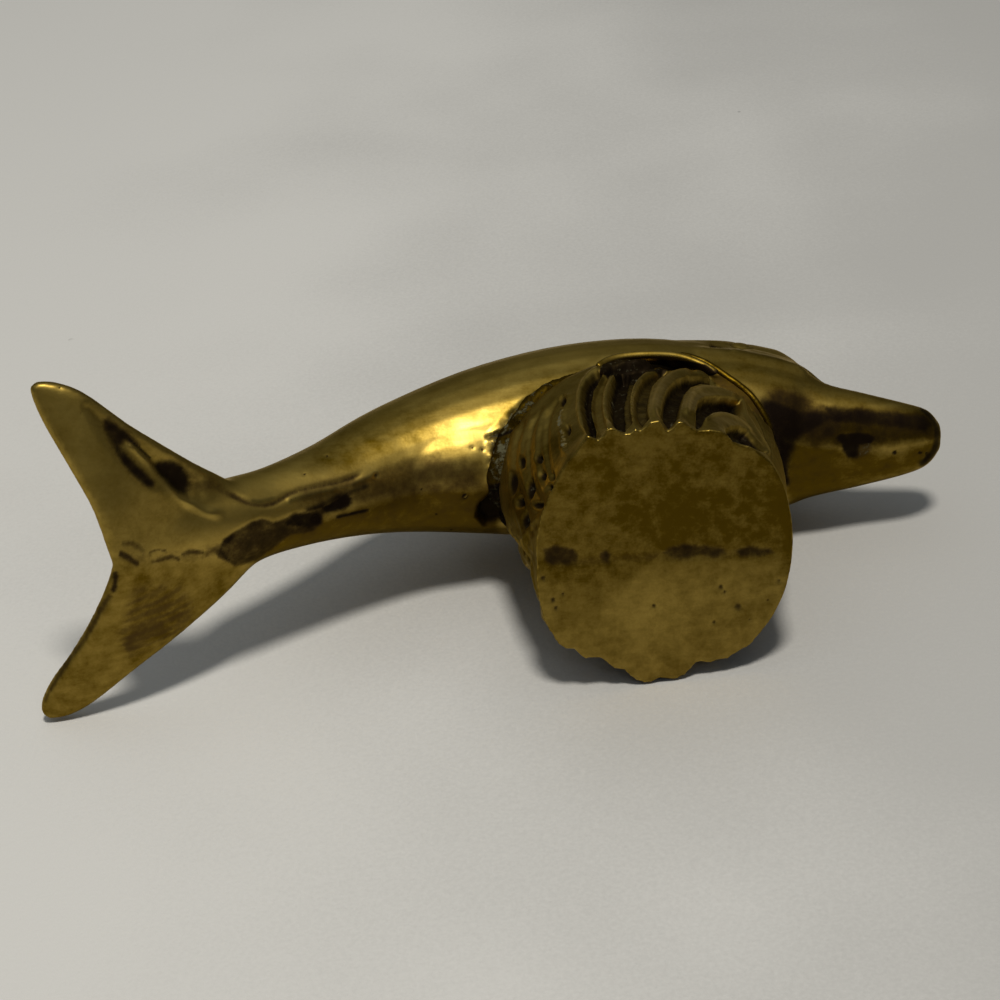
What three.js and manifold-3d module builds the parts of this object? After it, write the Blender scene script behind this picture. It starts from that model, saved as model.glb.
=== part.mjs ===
// A hollow brass dolphin that leaps over a ribbed wave base.
// X runs towards the beak, Y towards the dolphin's left side and Z up.
// The origin is the middle of the flat bottom of the wave. Lengths are in millimetres.
// Dolphin and wave are each cast as a right and a left half. Brazing metal joins the halves
// along the middle plane, the dolphin to the wave, and the fins to the dolphin.

import * as THREE from 'three';
import { mergeVertices } from 'three/addons/utils/BufferGeometryUtils.js';
import Module from 'manifold-3d';

const wasm = await Module();
wasm.setup();

// The main sizes: the body's length, and the flukes and the dorsal fin, which give the width
// and the height
const bodyLength = 135.5;
const flukeHalfSpan = 28.6;
const dorsalFinHeight = 18.2;

// Castings and brazing metal
const castingWall = 2.2;
const brazeGap = 0.3;
const seamWidth = 0.8;
const waveBeadRadius = 1.7;
const finBeadRadius = 1.1;
const jointBreakAhead = 4.0;
const jointBreakLength = 4.4;
const beadSides = 6;
const waveJointSteps = 48;
const finJointSteps = 20;

// The dolphin's body from the tail to the beak. Along is the place of a section as a share of
// the body's length, ahead of the middle of the wave or behind it. Then come the height of its
// middle, its half width to either side, and its reach above and below the middle.
const bodySections = [
	{ along: -0.601, z: 7.2, side: 4.0, above: 0.7, below: 0.7 },
	{ along: -0.568, z: 10.3, side: 5.2, above: 1.8, below: 1.8 },
	{ along: -0.531, z: 14.0, side: 7.2, above: 4.0, below: 4.0 },
	{ along: -0.491, z: 18.2, side: 7.3, above: 6.0, below: 6.0 },
	{ along: -0.435, z: 22.9, side: 6.8, above: 6.8, below: 6.6 },
	{ along: -0.365, z: 28.9, side: 7.9, above: 8.2, below: 7.8 },
	{ along: -0.280, z: 36.2, side: 10.7, above: 10.8, below: 10.6 },
	{ along: -0.177, z: 41.3, side: 13.9, above: 13.8, below: 13.6 },
	{ along: -0.074, z: 43.5, side: 16.1, above: 15.8, below: 15.6 },
	{ along: 0.030, z: 44.2, side: 16.6, above: 16.0, below: 15.8 },
	{ along: 0.118, z: 43.3, side: 15.1, above: 14.6, below: 14.0 },
	{ along: 0.177, z: 42.3, side: 13.9, above: 13.2, below: 12.0 },
	{ along: 0.218, z: 41.0, side: 12.3, above: 10.8, below: 10.0 },
	{ along: 0.251, z: 39.4, side: 9.8, above: 6.6, below: 7.6 },
	{ along: 0.299, z: 38.3, side: 8.2, above: 4.7, below: 5.6 },
	{ along: 0.351, z: 37.6, side: 6.3, above: 3.9, below: 4.8 },
	{ along: 0.384, z: 37.6, side: 4.6, above: 3.0, below: 3.6 },
	{ along: 0.399, z: 37.7, side: 2.6, above: 1.8, below: 2.0 },
];
const bodyRingCount = 42;
const bodyRingPoints = 24;
const hollowRingCount = 20;

// The hollow in the body ends where the tail and the beak become solid
const solidTailLength = 31.5;
const solidBeakLength = 14.0;

// One lobe of the flukes: how far ahead of the body's tail end, reach from the middle plane as
// a share of the half span, and Z along each edge
const flukeThickness = 3.4;
const flukeTipThickness = 1.5;
const flukeLeadingEdge = [
	[18.0, 0.087, 20.5],
	[14.5, 0.311, 17.6],
	[9.1, 0.497, 14.7],
	[1.5, 0.71, 12.2],
	[-5.9, 0.916, 11.8],
	[-10.1, 0.99, 11.7],
	[-12.9, 1, 11.6],
];
const flukeTrailingEdge = [
	[-2.1, -0.052, 5.6],
	[-3.4, 0.105, 5.9],
	[-5.1, 0.315, 6.7],
	[-8.7, 0.56, 8.2],
	[-12.1, 0.783, 9.9],
	[-13.7, 0.916, 11.0],
	[-13.9, 0.972, 11.4],
];
const rightLobeSweep = 1.2;
const leftLobeSweep = -2.0;

// The dorsal fin in the middle plane: X, and how far up the fin, from foot to top. Its foot
// lies sunk under the back, measured at the middle of the fin.
const dorsalFinThickness = 4.2;
const dorsalFinTipThickness = 1.4;
const dorsalFinMiddle = -10;
const dorsalFinSink = 5.3;
const dorsalFinLeadingEdge = [
	[1.0, 0.137],
	[-2.5, 0.412],
	[-7.5, 0.714],
	[-13.0, 0.912],
	[-17.5, 1],
];
const dorsalFinTrailingEdge = [
	[-19.0, 0],
	[-16.0, 0.275],
	[-14.8, 0.549],
	[-16.0, 0.802],
	[-18.4, 0.956],
];

// A pectoral fin: it starts inside the flank and lies back over the shoulder of the wave
const pectoralFinThickness = 2.4;
const pectoralFinTipThickness = 1.3;
const pectoralFinLeadingRoot = [17.0, 13.4, 37.2];
const pectoralFinTrailingRoot = [5.0, 13.4, 40.4];

// The rest of its edges: X, how far beyond the lip of the wave, and how far above it
const pectoralFinLeadingRun = [
	[12.0, -1.3, 2.4],
	[5.0, 0.0, 1.6],
	[-3.0, 0.1, 1.4],
	[-7.5, -0.6, 2.0],
];
const pectoralFinTrailingRun = [
	[1.5, -2.3, 5.6],
	[-2.5, -1.4, 4.1],
	[-6.0, -1.0, 3.0],
	[-8.0, -0.9, 2.4],
];

// The wave: an oval foot that swells to a lip, which wraps the belly
const footHalfLength = 19.0;
const footHalfWidth = 21.9;
const lipForwardReach = 24.4;
const lipRearReach = 22.6;
const lipHalfWidth = 18.3;
const lipHeightAtFront = 26.8;
const lipHeightAtSides = 33.4;
const shoulderDrawIn = 5.0;
const shoulderRise = 5.4;
const shoulderRoundness = 1.5;
const waveFloor = 2.6;
const hollowTopDrawIn = 4.6;
// The flank swells from foot to lip along a smooth step, of which it keeps the part that lies
// between these shares: below 0 the step starts under the foot, above 1 it ends over the lip
const swellStart = -0.3;
const swellEnd = 1.05;

const waveColumns = 96;
const waveRows = 22;
const shoulderRows = 4;

// Counted up the outside of the wave, 0 is its foot, 1 its lip, and this is the inner end of
// the shoulder. The joint with the belly is looked for from just under the lip.
const shoulderEnd = 2;
const jointSearchStart = 0.7;

// The ribs of the wave curl round a point low on each flank, towards the beak
const ribPitch = 4.2;
const ribDepth = 0.95;
const ribDepthAtEnds = 0.3;
const curlBearing = THREE.MathUtils.degToRad(46);
const curlSquash = 0.78;
const columnCrowding = 0.2;
const smoothLipShare = 0.8;

const brassFinish = { color: 0x8a7434, roughness: 0.34, metalness: 1.0 };
const darkBrassFinish = { color: 0x6b5a2b, roughness: 0.42, metalness: 1.0 };
const brazeFinish = { color: 0x55492a, roughness: 0.6, metalness: 0.8 };

// A closed surface through rings of points, with a fan over each end
function loft(rings) {

	const ringSize = rings[0].length;
	const positions = rings.flat().flatMap((point) => point.toArray());
	const triangles = [];
	for (let ring = 0; ring < rings.length - 1; ring++) {

		for (let i = 0; i < ringSize; i++) {

			const next = (i + 1) % ringSize;
			const a = ring * ringSize + i;
			const b = ring * ringSize + next;
			const c = a + ringSize;
			const d = b + ringSize;
			triangles.push(a, b, c, b, d, c);

		}

	}

	const firstCentre = addCentre(positions, rings[0]);
	const lastCentre = addCentre(positions, rings.at(-1));
	const lastRing = (rings.length - 1) * ringSize;
	for (let i = 0; i < ringSize; i++) {

		const next = (i + 1) % ringSize;
		triangles.push(firstCentre, next, i);
		triangles.push(lastCentre, lastRing + i, lastRing + next);

	}

	const geometry = new THREE.BufferGeometry();
	geometry.setAttribute('position', new THREE.Float32BufferAttribute(positions, 3));
	geometry.setIndex(triangles);
	return geometry;

}

function addCentre(positions, ring) {

	const centre = new THREE.Vector3();
	ring.forEach((point) => centre.addScaledVector(point, 1 / ring.length));
	positions.push(...centre.toArray());
	return positions.length / 3 - 1;

}

function signedVolume(positions, triangles) {

	const corners = [0, 1, 2].map(() => new THREE.Vector3());
	let volume = 0;
	for (let i = 0; i < triangles.length; i += 3) {

		corners.forEach((corner, k) => corner.fromArray(positions, triangles[i + k] * 3));
		volume += corners[0].dot(corners[1].clone().cross(corners[2])) / 6;

	}

	return volume;

}

// Turns a closed geometry into a solid that can be joined and cut
const mergeDistance = 1e-4;

function solidOf(geometry) {

	const bare = geometry.clone();
	bare.deleteAttribute('normal');
	bare.deleteAttribute('uv');
	const merged = mergeVertices(bare, mergeDistance);
	const vertProperties = Float32Array.from(merged.attributes.position.array);
	const triVerts = Uint32Array.from(merged.index.array);
	if (signedVolume(vertProperties, triVerts) < 0) {

		for (let i = 0; i < triVerts.length; i += 3) {

			[triVerts[i], triVerts[i + 1]] = [triVerts[i + 1], triVerts[i]];

		}

	}

	return new wasm.Manifold(new wasm.Mesh({ numProp: 3, vertProperties, triVerts }));

}

function geometryOf(solid) {

	const { vertProperties, triVerts } = solid.getMesh();
	const geometry = new THREE.BufferGeometry();
	geometry.setAttribute('position', new THREE.Float32BufferAttribute(vertProperties, 3));
	geometry.setIndex(Array.from(triVerts));
	geometry.computeVertexNormals();
	return geometry;

}

function curveThrough(points) {

	return new THREE.CatmullRomCurve3(points.map((point) => new THREE.Vector3(...point)));

}

// How closely a place along a curve is looked for, as a share of its length
const closeEnough = 1e-5;

// The spine runs through the middles of the sections, and the girth holds their half sizes
const spine = curveThrough(bodySections.map(({ along, z }) => [along * bodyLength, 0, z]));
const girth = curveThrough(bodySections.map(({ side, above, below }) => [side, above, below]));
const tailEnd = spine.getPoint(0).x;
const beakEnd = spine.getPoint(1).x;

function bodyRing(share, grow) {

	const middle = spine.getPoint(share);
	const along = spine.getTangent(share);
	const upward = new THREE.Vector3(-along.z, 0, along.x);
	const size = girth.getPoint(share);
	return Array.from({ length: bodyRingPoints }, (_, i) => {

		const angle = (i / bodyRingPoints) * 2 * Math.PI;
		const reach = Math.sin(angle) > 0 ? size.y : size.z;
		const point = middle.clone().addScaledVector(upward, (reach + grow) * Math.sin(angle));
		point.y = (size.x + grow) * Math.cos(angle);
		return point;

	});

}

// Where along the spine, from 0 to 1, the body passes a given X
function spineShareAt(x) {

	let low = 0;
	let high = 1;
	while (high - low > closeEnough) {

		const middle = (low + high) / 2;
		if (spine.getPoint(middle).x < x) low = middle;
		else high = middle;

	}

	return low;

}

// The body between two shares of the spine, with every section grown or shrunk by the same amount
function bodySolid(grow, from = 0, to = 1, ringCount = bodyRingCount) {

	const rings = [];
	for (let i = 0; i <= ringCount; i++) {

		rings.push(bodyRing(from + (to - from) * (i / ringCount), grow));

	}

	return solidOf(loft(rings));

}

// Below 1 inside the body, above 1 outside it
function bodyMeasure(point, grow) {

	let low = 0;
	let high = 1;
	while (high - low > closeEnough) {

		const share = (low + high) / 2;
		const ahead = point.clone().sub(spine.getPoint(share)).dot(spine.getTangent(share)) > 0;
		if (ahead) low = share;
		else high = share;

	}

	const along = spine.getTangent(low);
	const height = new THREE.Vector3(-along.z, 0, along.x).dot(point.clone().sub(spine.getPoint(low)));
	const size = girth.getPoint(low);
	const reach = height > 0 ? size.y : size.z;
	return Math.hypot(point.y / (size.x + grow), height / (reach + grow));

}

// The closed line on which a surface runs into the body. pointAt( turn, share ) walks from
// outside the body at a share of 0 into it at a share of 1, for each turn from 0 to 1.
function lineRoundBody(pointAt, pointCount) {

	return new THREE.CatmullRomCurve3(Array.from({ length: pointCount }, (_, i) => {

		const turn = i / pointCount;
		let outside = 0;
		let inside = 1;
		while (inside - outside > closeEnough) {

			const share = (outside + inside) / 2;
			if (bodyMeasure(pointAt(turn, share), brazeGap) > 1) outside = share;
			else inside = share;

		}

		return pointAt(turn, inside);

	}), true);

}

function beadAlong(line, radius, steps) {

	return solidOf(new THREE.TubeGeometry(line, steps, radius, beadSides, true));

}

// A fin, from its root to its tip, between a leading and a trailing edge. Its section is
// fuller at the nose than an ellipse and thins towards the tail.
const finSteps = 12;
const finSectionPoints = 12;
const finNoseFullness = 1.15;
const finTailTaper = 0.4;

function finRing({ leadingEdge, trailingEdge, rootThickness, tipThickness }, share, grow) {

	const leading = curveThrough(leadingEdge);
	const trailing = curveThrough(trailingEdge);
	const front = leading.getPoint(share);
	const back = trailing.getPoint(share);
	const outward = leading.getTangent(share).add(trailing.getTangent(share));
	const across = back.clone().sub(front).cross(outward).normalize();
	const edgeShift = back.clone().sub(front).normalize().multiplyScalar(grow);
	front.sub(edgeShift);
	const chord = back.add(edgeShift).sub(front);
	const halfThickness = THREE.MathUtils.lerp(rootThickness, tipThickness, share) / 2 + grow;
	return Array.from({ length: finSectionPoints }, (_, i) => {

		const angle = (i / finSectionPoints) * 2 * Math.PI;
		const alongChord = (1 - Math.cos(angle)) / 2;
		const fullness = finNoseFullness - finTailTaper * alongChord;
		const halfHere = halfThickness * Math.sin(angle) * fullness;
		return front.clone().addScaledVector(chord, alongChord).addScaledVector(across, halfHere);

	});

}

function finSolid(fin, grow = 0) {

	const rings = [];
	for (let step = 0; step <= finSteps; step++) rings.push(finRing(fin, step / finSteps, grow));
	if (grow > 0) {

		const tipGrowth = curveThrough(fin.leadingEdge).getTangent(1).setLength(grow);
		rings.push(rings.at(-1).map((point) => point.clone().add(tipGrowth)));

	}

	return solidOf(loft(rings));

}

// Edges are written for the left side, 1. The right side is -1.
function onSide(side, edge) {

	return edge.map(([x, y, z]) => [x, side * y, z]);

}

// An edge of a lobe, moved fore or aft in proportion to its reach from the middle plane
function flukeEdge(edge, sweepAtTip) {

	return edge.map(([ahead, share, z]) => [
		tailEnd + ahead + sweepAtTip * Math.abs(share),
		share * flukeHalfSpan,
		z,
	]);

}

function flukeLobe(side, sweepAtTip) {

	return finSolid({
		leadingEdge: onSide(side, flukeEdge(flukeLeadingEdge, sweepAtTip)),
		trailingEdge: onSide(side, flukeEdge(flukeTrailingEdge, sweepAtTip)),
		rootThickness: flukeThickness,
		tipThickness: flukeTipThickness,
	});

}

// How far the ribs stand out of the wave at a bearing and a height
function ribRelief(bearing, height, lipHeight) {

	const alongFlank = (Math.abs(bearing) - curlBearing) * footHalfWidth;
	const distance = Math.hypot(alongFlank, height * curlSquash);
	const flank = Math.sin(bearing) ** 2;
	const depth = THREE.MathUtils.lerp(ribDepthAtEnds, ribDepth, flank);
	const fade = 1 - THREE.MathUtils.smoothstep(height / lipHeight, smoothLipShare, 1);
	return depth * fade * Math.cos((2 * Math.PI * distance) / ribPitch);

}

// The lip's height and its reach from the middle at a bearing
function lipHeightAt(bearing) {

	return THREE.MathUtils.lerp(lipHeightAtFront, lipHeightAtSides, Math.sin(bearing) ** 2);

}

function lipHalfLengthAt(bearing) {

	return Math.cos(bearing) > 0 ? lipForwardReach : lipRearReach;

}

function wavePoint(bearing, halfLength, halfWidth, relief, height) {

	return new THREE.Vector3(
		(halfLength + relief) * Math.cos(bearing),
		(halfWidth + relief) * Math.sin(bearing),
		height,
	);

}

// A point of the outside of the wave, at a bearing and a share of the way up
function waveSurfacePoint(bearing, share, grow) {

	const lipHeight = lipHeightAt(bearing);
	const lipHalfLength = lipHalfLengthAt(bearing);
	if (share <= 1) {

		const spread = THREE.MathUtils.smoothstep(share, swellStart, swellEnd);
		return wavePoint(
			bearing,
			THREE.MathUtils.lerp(footHalfLength, lipHalfLength, spread),
			THREE.MathUtils.lerp(footHalfWidth, lipHalfWidth, spread),
			grow + ribRelief(bearing, share * lipHeight, lipHeight),
			share * lipHeight,
		);

	}

	const inward = shoulderDrawIn * (share - 1) ** shoulderRoundness;
	const upward = (shoulderRise + grow) * Math.sin((share - 1) * Math.PI / 2);
	return wavePoint(bearing, lipHalfLength, lipHalfWidth, grow - inward, lipHeight + upward);

}

function waveRing(pointAt) {

	return Array.from({ length: waveColumns }, (_, i) => pointAt(bearingAt(i / waveColumns)));

}

// Bearings run from straight ahead, 0, to both sides, up to straight behind. They crowd
// together on the flanks, where the ribs are deepest.
function bearingAt(turn) {

	const even = (turn > 0.5 ? turn - 1 : turn) * 2 * Math.PI;
	return even + columnCrowding * Math.sin(2 * even);

}

// The outside of the wave, grown by the same amount all round
function waveSolid(grow) {

	const rings = [];
	for (let row = 0; row < waveRows + shoulderRows; row++) {

		const shoulderShare = (row - waveRows) / (shoulderRows - 1);
		const share = row < waveRows ? row / waveRows : 1 + (shoulderEnd - 1) * shoulderShare;
		rings.push(waveRing((bearing) => waveSurfacePoint(bearing, share, grow)));

	}

	return solidOf(loft(rings));

}

// The room inside the wave, open to the belly at the top
function waveHollow() {

	const inset = castingWall + ribDepth;
	const foot = waveRing((bearing) => wavePoint(bearing, footHalfLength, footHalfWidth, -inset, waveFloor));
	const top = waveRing((bearing) => wavePoint(
		bearing,
		lipHalfLengthAt(bearing),
		lipHalfWidth,
		-castingWall - hollowTopDrawIn,
		lipHeightAt(bearing),
	));
	return solidOf(loft([foot, top]));

}

// Blocks that hold what lies between two planes across Y, or across X. Ten times the half
// span of the flukes reaches well beyond the part on every side.
const wellOutside = 10 * flukeHalfSpan;

function slabAcrossY(fromY, toY) {

	const block = new THREE.BoxGeometry(2 * wellOutside, toY - fromY, 2 * wellOutside);
	return solidOf(block.translate(0, (fromY + toY) / 2, 0));

}

function slabAcrossX(fromX, toX) {

	const block = new THREE.BoxGeometry(toX - fromX, 2 * wellOutside, 2 * wellOutside);
	return solidOf(block.translate((fromX + toX) / 2, 0, 0));

}

const rightOfSeam = slabAcrossY(-wellOutside, -seamWidth / 2);
const leftOfSeam = slabAcrossY(seamWidth / 2, wellOutside);
const insideSeam = slabAcrossY(-seamWidth / 2, seamWidth / 2);

// The dolphin: the body with both lobes of the flukes, less the hollow
const hollow = bodySolid(
	-castingWall,
	spineShareAt(tailEnd + solidTailLength),
	spineShareAt(beakEnd - solidBeakLength),
	hollowRingCount,
);
const dolphin = bodySolid(0)
	.add(flukeLobe(-1, rightLobeSweep))
	.add(flukeLobe(1, leftLobeSweep))
	.subtract(hollow);

// What stays free round the body for the wave, the fins and the brazing metal
const bodyWithGap = bodySolid(brazeGap);

// The wave, less its hollow and the seat of the belly
const wave = waveSolid(0).subtract(waveHollow()).subtract(bodyWithGap);
const waveWithGap = waveSolid(brazeGap);

function dorsalFinEdge(edge) {

	const share = spineShareAt(dorsalFinMiddle);
	const foot = spine.getPoint(share).z + girth.getPoint(share).y - dorsalFinSink;
	return edge.map(([x, up]) => [x, 0, foot + up * dorsalFinHeight]);

}

const dorsalFin = {
	leadingEdge: dorsalFinEdge(dorsalFinLeadingEdge),
	trailingEdge: dorsalFinEdge(dorsalFinTrailingEdge),
	rootThickness: dorsalFinThickness,
	tipThickness: dorsalFinTipThickness,
};

// A run beside and above the lip of the wave, on the left side
function fromLip(run) {

	return run.map(([x, beyond, above]) => [x, lipHalfWidth + beyond, lipHeightAtSides + above]);

}

function pectoralFin(side) {

	return {
		leadingEdge: onSide(side, [pectoralFinLeadingRoot, ...fromLip(pectoralFinLeadingRun)]),
		trailingEdge: onSide(side, [pectoralFinTrailingRoot, ...fromLip(pectoralFinTrailingRun)]),
		rootThickness: pectoralFinThickness,
		tipThickness: pectoralFinTipThickness,
	};

}

// The bead of brazing metal round the foot of a fin
function finJoint(fin) {

	const line = lineRoundBody(
		(turn, share) => finRing(fin, 1 - share, 0)[Math.round(turn * finSectionPoints)],
		finSectionPoints,
	);
	return beadAlong(line, finBeadRadius, finJointSteps)
		.subtract(bodyWithGap)
		.subtract(finSolid(fin, brazeGap));

}

// The bead of brazing metal round the belly, where the shoulder of the wave meets it. The
// pectoral fins part it into a front and a rear length.
const waveJointLine = lineRoundBody(
	(turn, share) => waveSurfacePoint(
		bearingAt(turn),
		THREE.MathUtils.lerp(jointSearchStart, shoulderEnd, share),
		brazeGap,
	),
	waveJointSteps,
);
const breakMiddle = pectoralFinTrailingRun[0][0] + jointBreakAhead;
const aheadOfBreak = slabAcrossX(breakMiddle + jointBreakLength / 2, wellOutside);
const behindBreak = slabAcrossX(-wellOutside, breakMiddle - jointBreakLength / 2);
const waveJoint = beadAlong(waveJointLine, waveBeadRadius, waveJointSteps)
	.subtract(bodyWithGap)
	.subtract(waveWithGap)
	.subtract(finSolid(pectoralFin(-1), brazeGap))
	.subtract(finSolid(pectoralFin(1), brazeGap));

const figurine = new THREE.Group();

function addPart(name, solid, finish) {

	const mesh = new THREE.Mesh(geometryOf(solid), new THREE.MeshStandardMaterial(finish));
	mesh.name = name;
	figurine.add(mesh);

}

addPart('dolphin_right_half', dolphin.intersect(rightOfSeam), brassFinish);
addPart('dolphin_left_half', dolphin.intersect(leftOfSeam), brassFinish);
addPart('dolphin_seam_braze', dolphin.intersect(insideSeam), brazeFinish);
addPart('dorsal_fin', finSolid(dorsalFin).subtract(bodyWithGap), brassFinish);
addPart('dorsal_fin_braze', finJoint(dorsalFin), brazeFinish);
[['right', -1], ['left', 1]].forEach(([sideName, side]) => {

	const fin = finSolid(pectoralFin(side)).subtract(bodyWithGap).subtract(waveWithGap);
	addPart(`${sideName}_pectoral_fin`, fin, brassFinish);

});
addPart('wave_right_half', wave.intersect(rightOfSeam), darkBrassFinish);
addPart('wave_left_half', wave.intersect(leftOfSeam), darkBrassFinish);
addPart('wave_seam_braze', wave.intersect(insideSeam), brazeFinish);
addPart('front_joint_braze', waveJoint.intersect(aheadOfBreak), brazeFinish);
addPart('rear_joint_braze', waveJoint.intersect(behindBreak), brazeFinish);

export default figurine;
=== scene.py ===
import math

import bpy
import numpy as np
from bpy.props import FloatProperty, FloatVectorProperty, PointerProperty
from mathutils import Matrix, Vector
from mathutils.bvhtree import BVHTree


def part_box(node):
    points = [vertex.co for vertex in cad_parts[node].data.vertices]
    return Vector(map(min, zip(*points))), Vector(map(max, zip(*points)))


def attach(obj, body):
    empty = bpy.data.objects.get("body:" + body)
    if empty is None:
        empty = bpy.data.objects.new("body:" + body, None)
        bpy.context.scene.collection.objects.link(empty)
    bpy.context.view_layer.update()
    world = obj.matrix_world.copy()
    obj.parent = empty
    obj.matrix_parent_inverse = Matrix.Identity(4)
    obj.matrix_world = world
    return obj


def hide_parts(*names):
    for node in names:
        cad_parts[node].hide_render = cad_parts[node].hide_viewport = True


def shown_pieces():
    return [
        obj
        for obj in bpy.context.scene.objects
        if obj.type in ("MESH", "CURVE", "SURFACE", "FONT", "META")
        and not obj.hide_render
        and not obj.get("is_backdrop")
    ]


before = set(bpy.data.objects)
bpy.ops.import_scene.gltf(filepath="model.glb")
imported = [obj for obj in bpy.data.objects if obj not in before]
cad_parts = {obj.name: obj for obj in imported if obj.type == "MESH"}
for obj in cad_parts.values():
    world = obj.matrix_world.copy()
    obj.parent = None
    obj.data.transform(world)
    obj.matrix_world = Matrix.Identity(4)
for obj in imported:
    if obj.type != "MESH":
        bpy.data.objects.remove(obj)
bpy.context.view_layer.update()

bl_info = {
    "name": "Brass Dolphin on a Wave",
    "version": (1, 0, 0),
    "blender": (4, 5, 0),
    "location": "3D View > Sidebar > Dolphin",
    "description": "Models a cast brass dolphin that leaps over a ribbed wave",
    "category": "Add Mesh",
}

BODY = "root"
MM = 0.001

# The dolphin lies on its left side in the photograph, and the camera looks at its belly.
# The three directions are the picture's right, its down and straight ahead.
CAMERA_PLACE = Vector((-61.914, -168.855, -340.292)) * MM
PICTURE_RIGHT = Vector((0.99367039, 0.00950048, -0.11193252))
PICTURE_DOWN = Vector((-0.05564822, 0.90719585, -0.41701195))
PICTURE_AHEAD = Vector((0.0975829, 0.42060127, 0.90198234))
FOCAL_PIXELS = 2500.0
PICTURE_SIZE = 1000.0

# The plane that the dolphin lies on touches a fluke, a pectoral fin and the rim of the base.
# This is the way down to it.
CLOTH_DOWN = Vector((0.076, 0.993, 0.096)).normalized()

# The body from the tail to the beak, in mm: X and Z of the middle of each section, its half
# width, and its reach above and below the middle.
BODY_SECTIONS = (
    (-82.5, 6.6, 3.4, 0.8, 0.8),
    (-77.0, 10.3, 5.2, 1.9, 1.9),
    (-72.0, 14.0, 7.2, 4.1, 4.1),
    (-66.5, 18.2, 7.6, 6.1, 6.1),
    (-59.0, 22.9, 7.0, 6.9, 6.7),
    (-49.5, 28.9, 8.0, 8.3, 7.9),
    (-38.0, 36.2, 10.8, 10.9, 10.7),
    (-24.0, 41.3, 14.0, 13.9, 13.7),
    (-10.0, 43.5, 16.2, 15.9, 15.7),
    (4.0, 44.2, 16.7, 16.1, 15.9),
    (16.0, 43.3, 15.3, 14.7, 14.1),
    (24.0, 42.3, 14.0, 13.3, 12.1),
    (29.5, 41.0, 12.3, 10.8, 10.1),
    (34.0, 39.4, 9.9, 6.8, 7.7),
    (40.5, 38.3, 8.3, 4.8, 5.7),
    (47.5, 37.6, 6.4, 4.0, 4.9),
    (51.5, 37.6, 4.9, 3.2, 3.8),
    (53.7, 37.7, 2.4, 1.7, 1.9),
)
BODY_RINGS = 72
BODY_RING_POINTS = 32

# The edges of each lobe of the flukes from its root to its tip, in mm
RIGHT_LOBE_LEADING = (
    (-60.0, -2.4, 20.8),
    (-66.3, -9.0, 17.6),
    (-72.0, -13.8, 14.7),
    (-79.3, -19.9, 12.2),
    (-86.3, -26.2, 11.8),
    (-90.5, -28.2, 11.7),
    (-93.2, -28.5, 11.6),
)
RIGHT_LOBE_TRAILING = (
    (-83.5, 1.5, 5.6),
    (-84.8, -3.0, 5.9),
    (-86.2, -9.0, 6.7),
    (-89.5, -16.0, 8.2),
    (-92.7, -22.4, 9.9),
    (-94.1, -26.2, 11.0),
    (-94.3, -27.8, 11.4),
)
LEFT_LOBE_LEADING = (
    (-58.5, 3.2, 21.3),
    (-65.2, 9.9, 17.7),
    (-72.6, 14.9, 14.7),
    (-81.4, 20.4, 12.2),
    (-89.0, 26.3, 11.8),
    (-93.2, 28.4, 11.7),
    (-96.2, 28.6, 11.6),
)
LEFT_LOBE_TRAILING = (
    (-83.5, -1.5, 5.6),
    (-85.1, 3.0, 5.9),
    (-87.6, 9.0, 6.7),
    (-91.6, 16.0, 8.2),
    (-95.3, 21.6, 9.9),
    (-97.05, 25.4, 11.0),
    (-97.3, 27.4, 11.4),
)
# At the root and at the tip
LOBE_THICKNESS = (4.0, 2.3)
# 1 gives oval sections, and less gives fuller ones with blunter edges
LOBE_FULLNESS = 0.62
FIN_FULLNESS = 0.7

# The dorsal fin stands in the middle plane.
DORSAL_FIN_LEADING = (
    (1.0, 0.0, 56.5), (-2.5, 0.0, 61.5), (-7.5, 0.0, 67.0), (-13.0, 0.0, 70.6), (-17.5, 0.0, 72.0),
)
DORSAL_FIN_TRAILING = (
    (-19.0, 0.0, 54.0), (-16.0, 0.0, 59.0), (-14.8, 0.0, 64.0), (-16.0, 0.0, 68.6), (-18.4, 0.0, 71.4),
)
DORSAL_FIN_THICKNESS = (4.6, 1.5)

# A pectoral fin on the left side. The right one is its mirror image.
PECTORAL_FIN_LEADING = (
    (15.0, 15.3, 33.0), (12.8, 16.6, 34.5), (8.8, 17.9, 35.8), (4.0, 18.4, 35.8), (-0.5, 18.5, 35.5),
    (-3.3, 18.3, 34.5), (-5.3, 17.9, 32.8),
)
PECTORAL_FIN_TRAILING = (
    (11.0, 13.4, 37.6), (8.5, 14.6, 38.4), (5.5, 15.5, 38.6), (2.0, 16.2, 38.2), (-1.0, 16.6, 37.2),
    (-3.4, 16.8, 35.9), (-5.4, 16.9, 33.6),
)
PECTORAL_FIN_THICKNESS = (1.7, 1.4)
# Below this band of the picture's rows the pectoral fins lie in the recess under the wave's lip, and are
# painted dark there as painted shade.
RECESS_SHADE = (366, 372)
FIN_RINGS = 20
FIN_RING_POINTS = 20

# The wave, in mm: the foot is an oval, and the lip wraps the belly
FOOT_HALF_LENGTH = 19.1
FOOT_HALF_WIDTH = 22.5
LIP_FORWARD_REACH = 24.2
LIP_REAR_REACH = 22.5
LIP_HALF_WIDTH = 18.3
LIP_HEIGHT_AT_FRONT = 26.8
LIP_HEIGHT_AT_SIDES = 33.4
SHOULDER_DRAW_IN = 5.0
SHOULDER_RISE = 5.4
WAVE_ROWS = 30
SHOULDER_ROWS = 6
WAVE_RING_POINTS = 96

# The deep recess under the lip of the wave, in the picture's pixels. It is painted dark as painted
# shade.
LIP_RECESS = (
    (604, 373), (612, 366.5), (626, 362.5), (642, 360.5), (660, 359.5), (680, 360), (695, 362),
    (706, 364.5), (713, 369), (717, 376), (711, 374.5), (700, 370), (686, 368), (672, 370),
    (660, 366.5), (648, 369), (636, 371.5), (622, 370), (612, 373),
)
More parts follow.
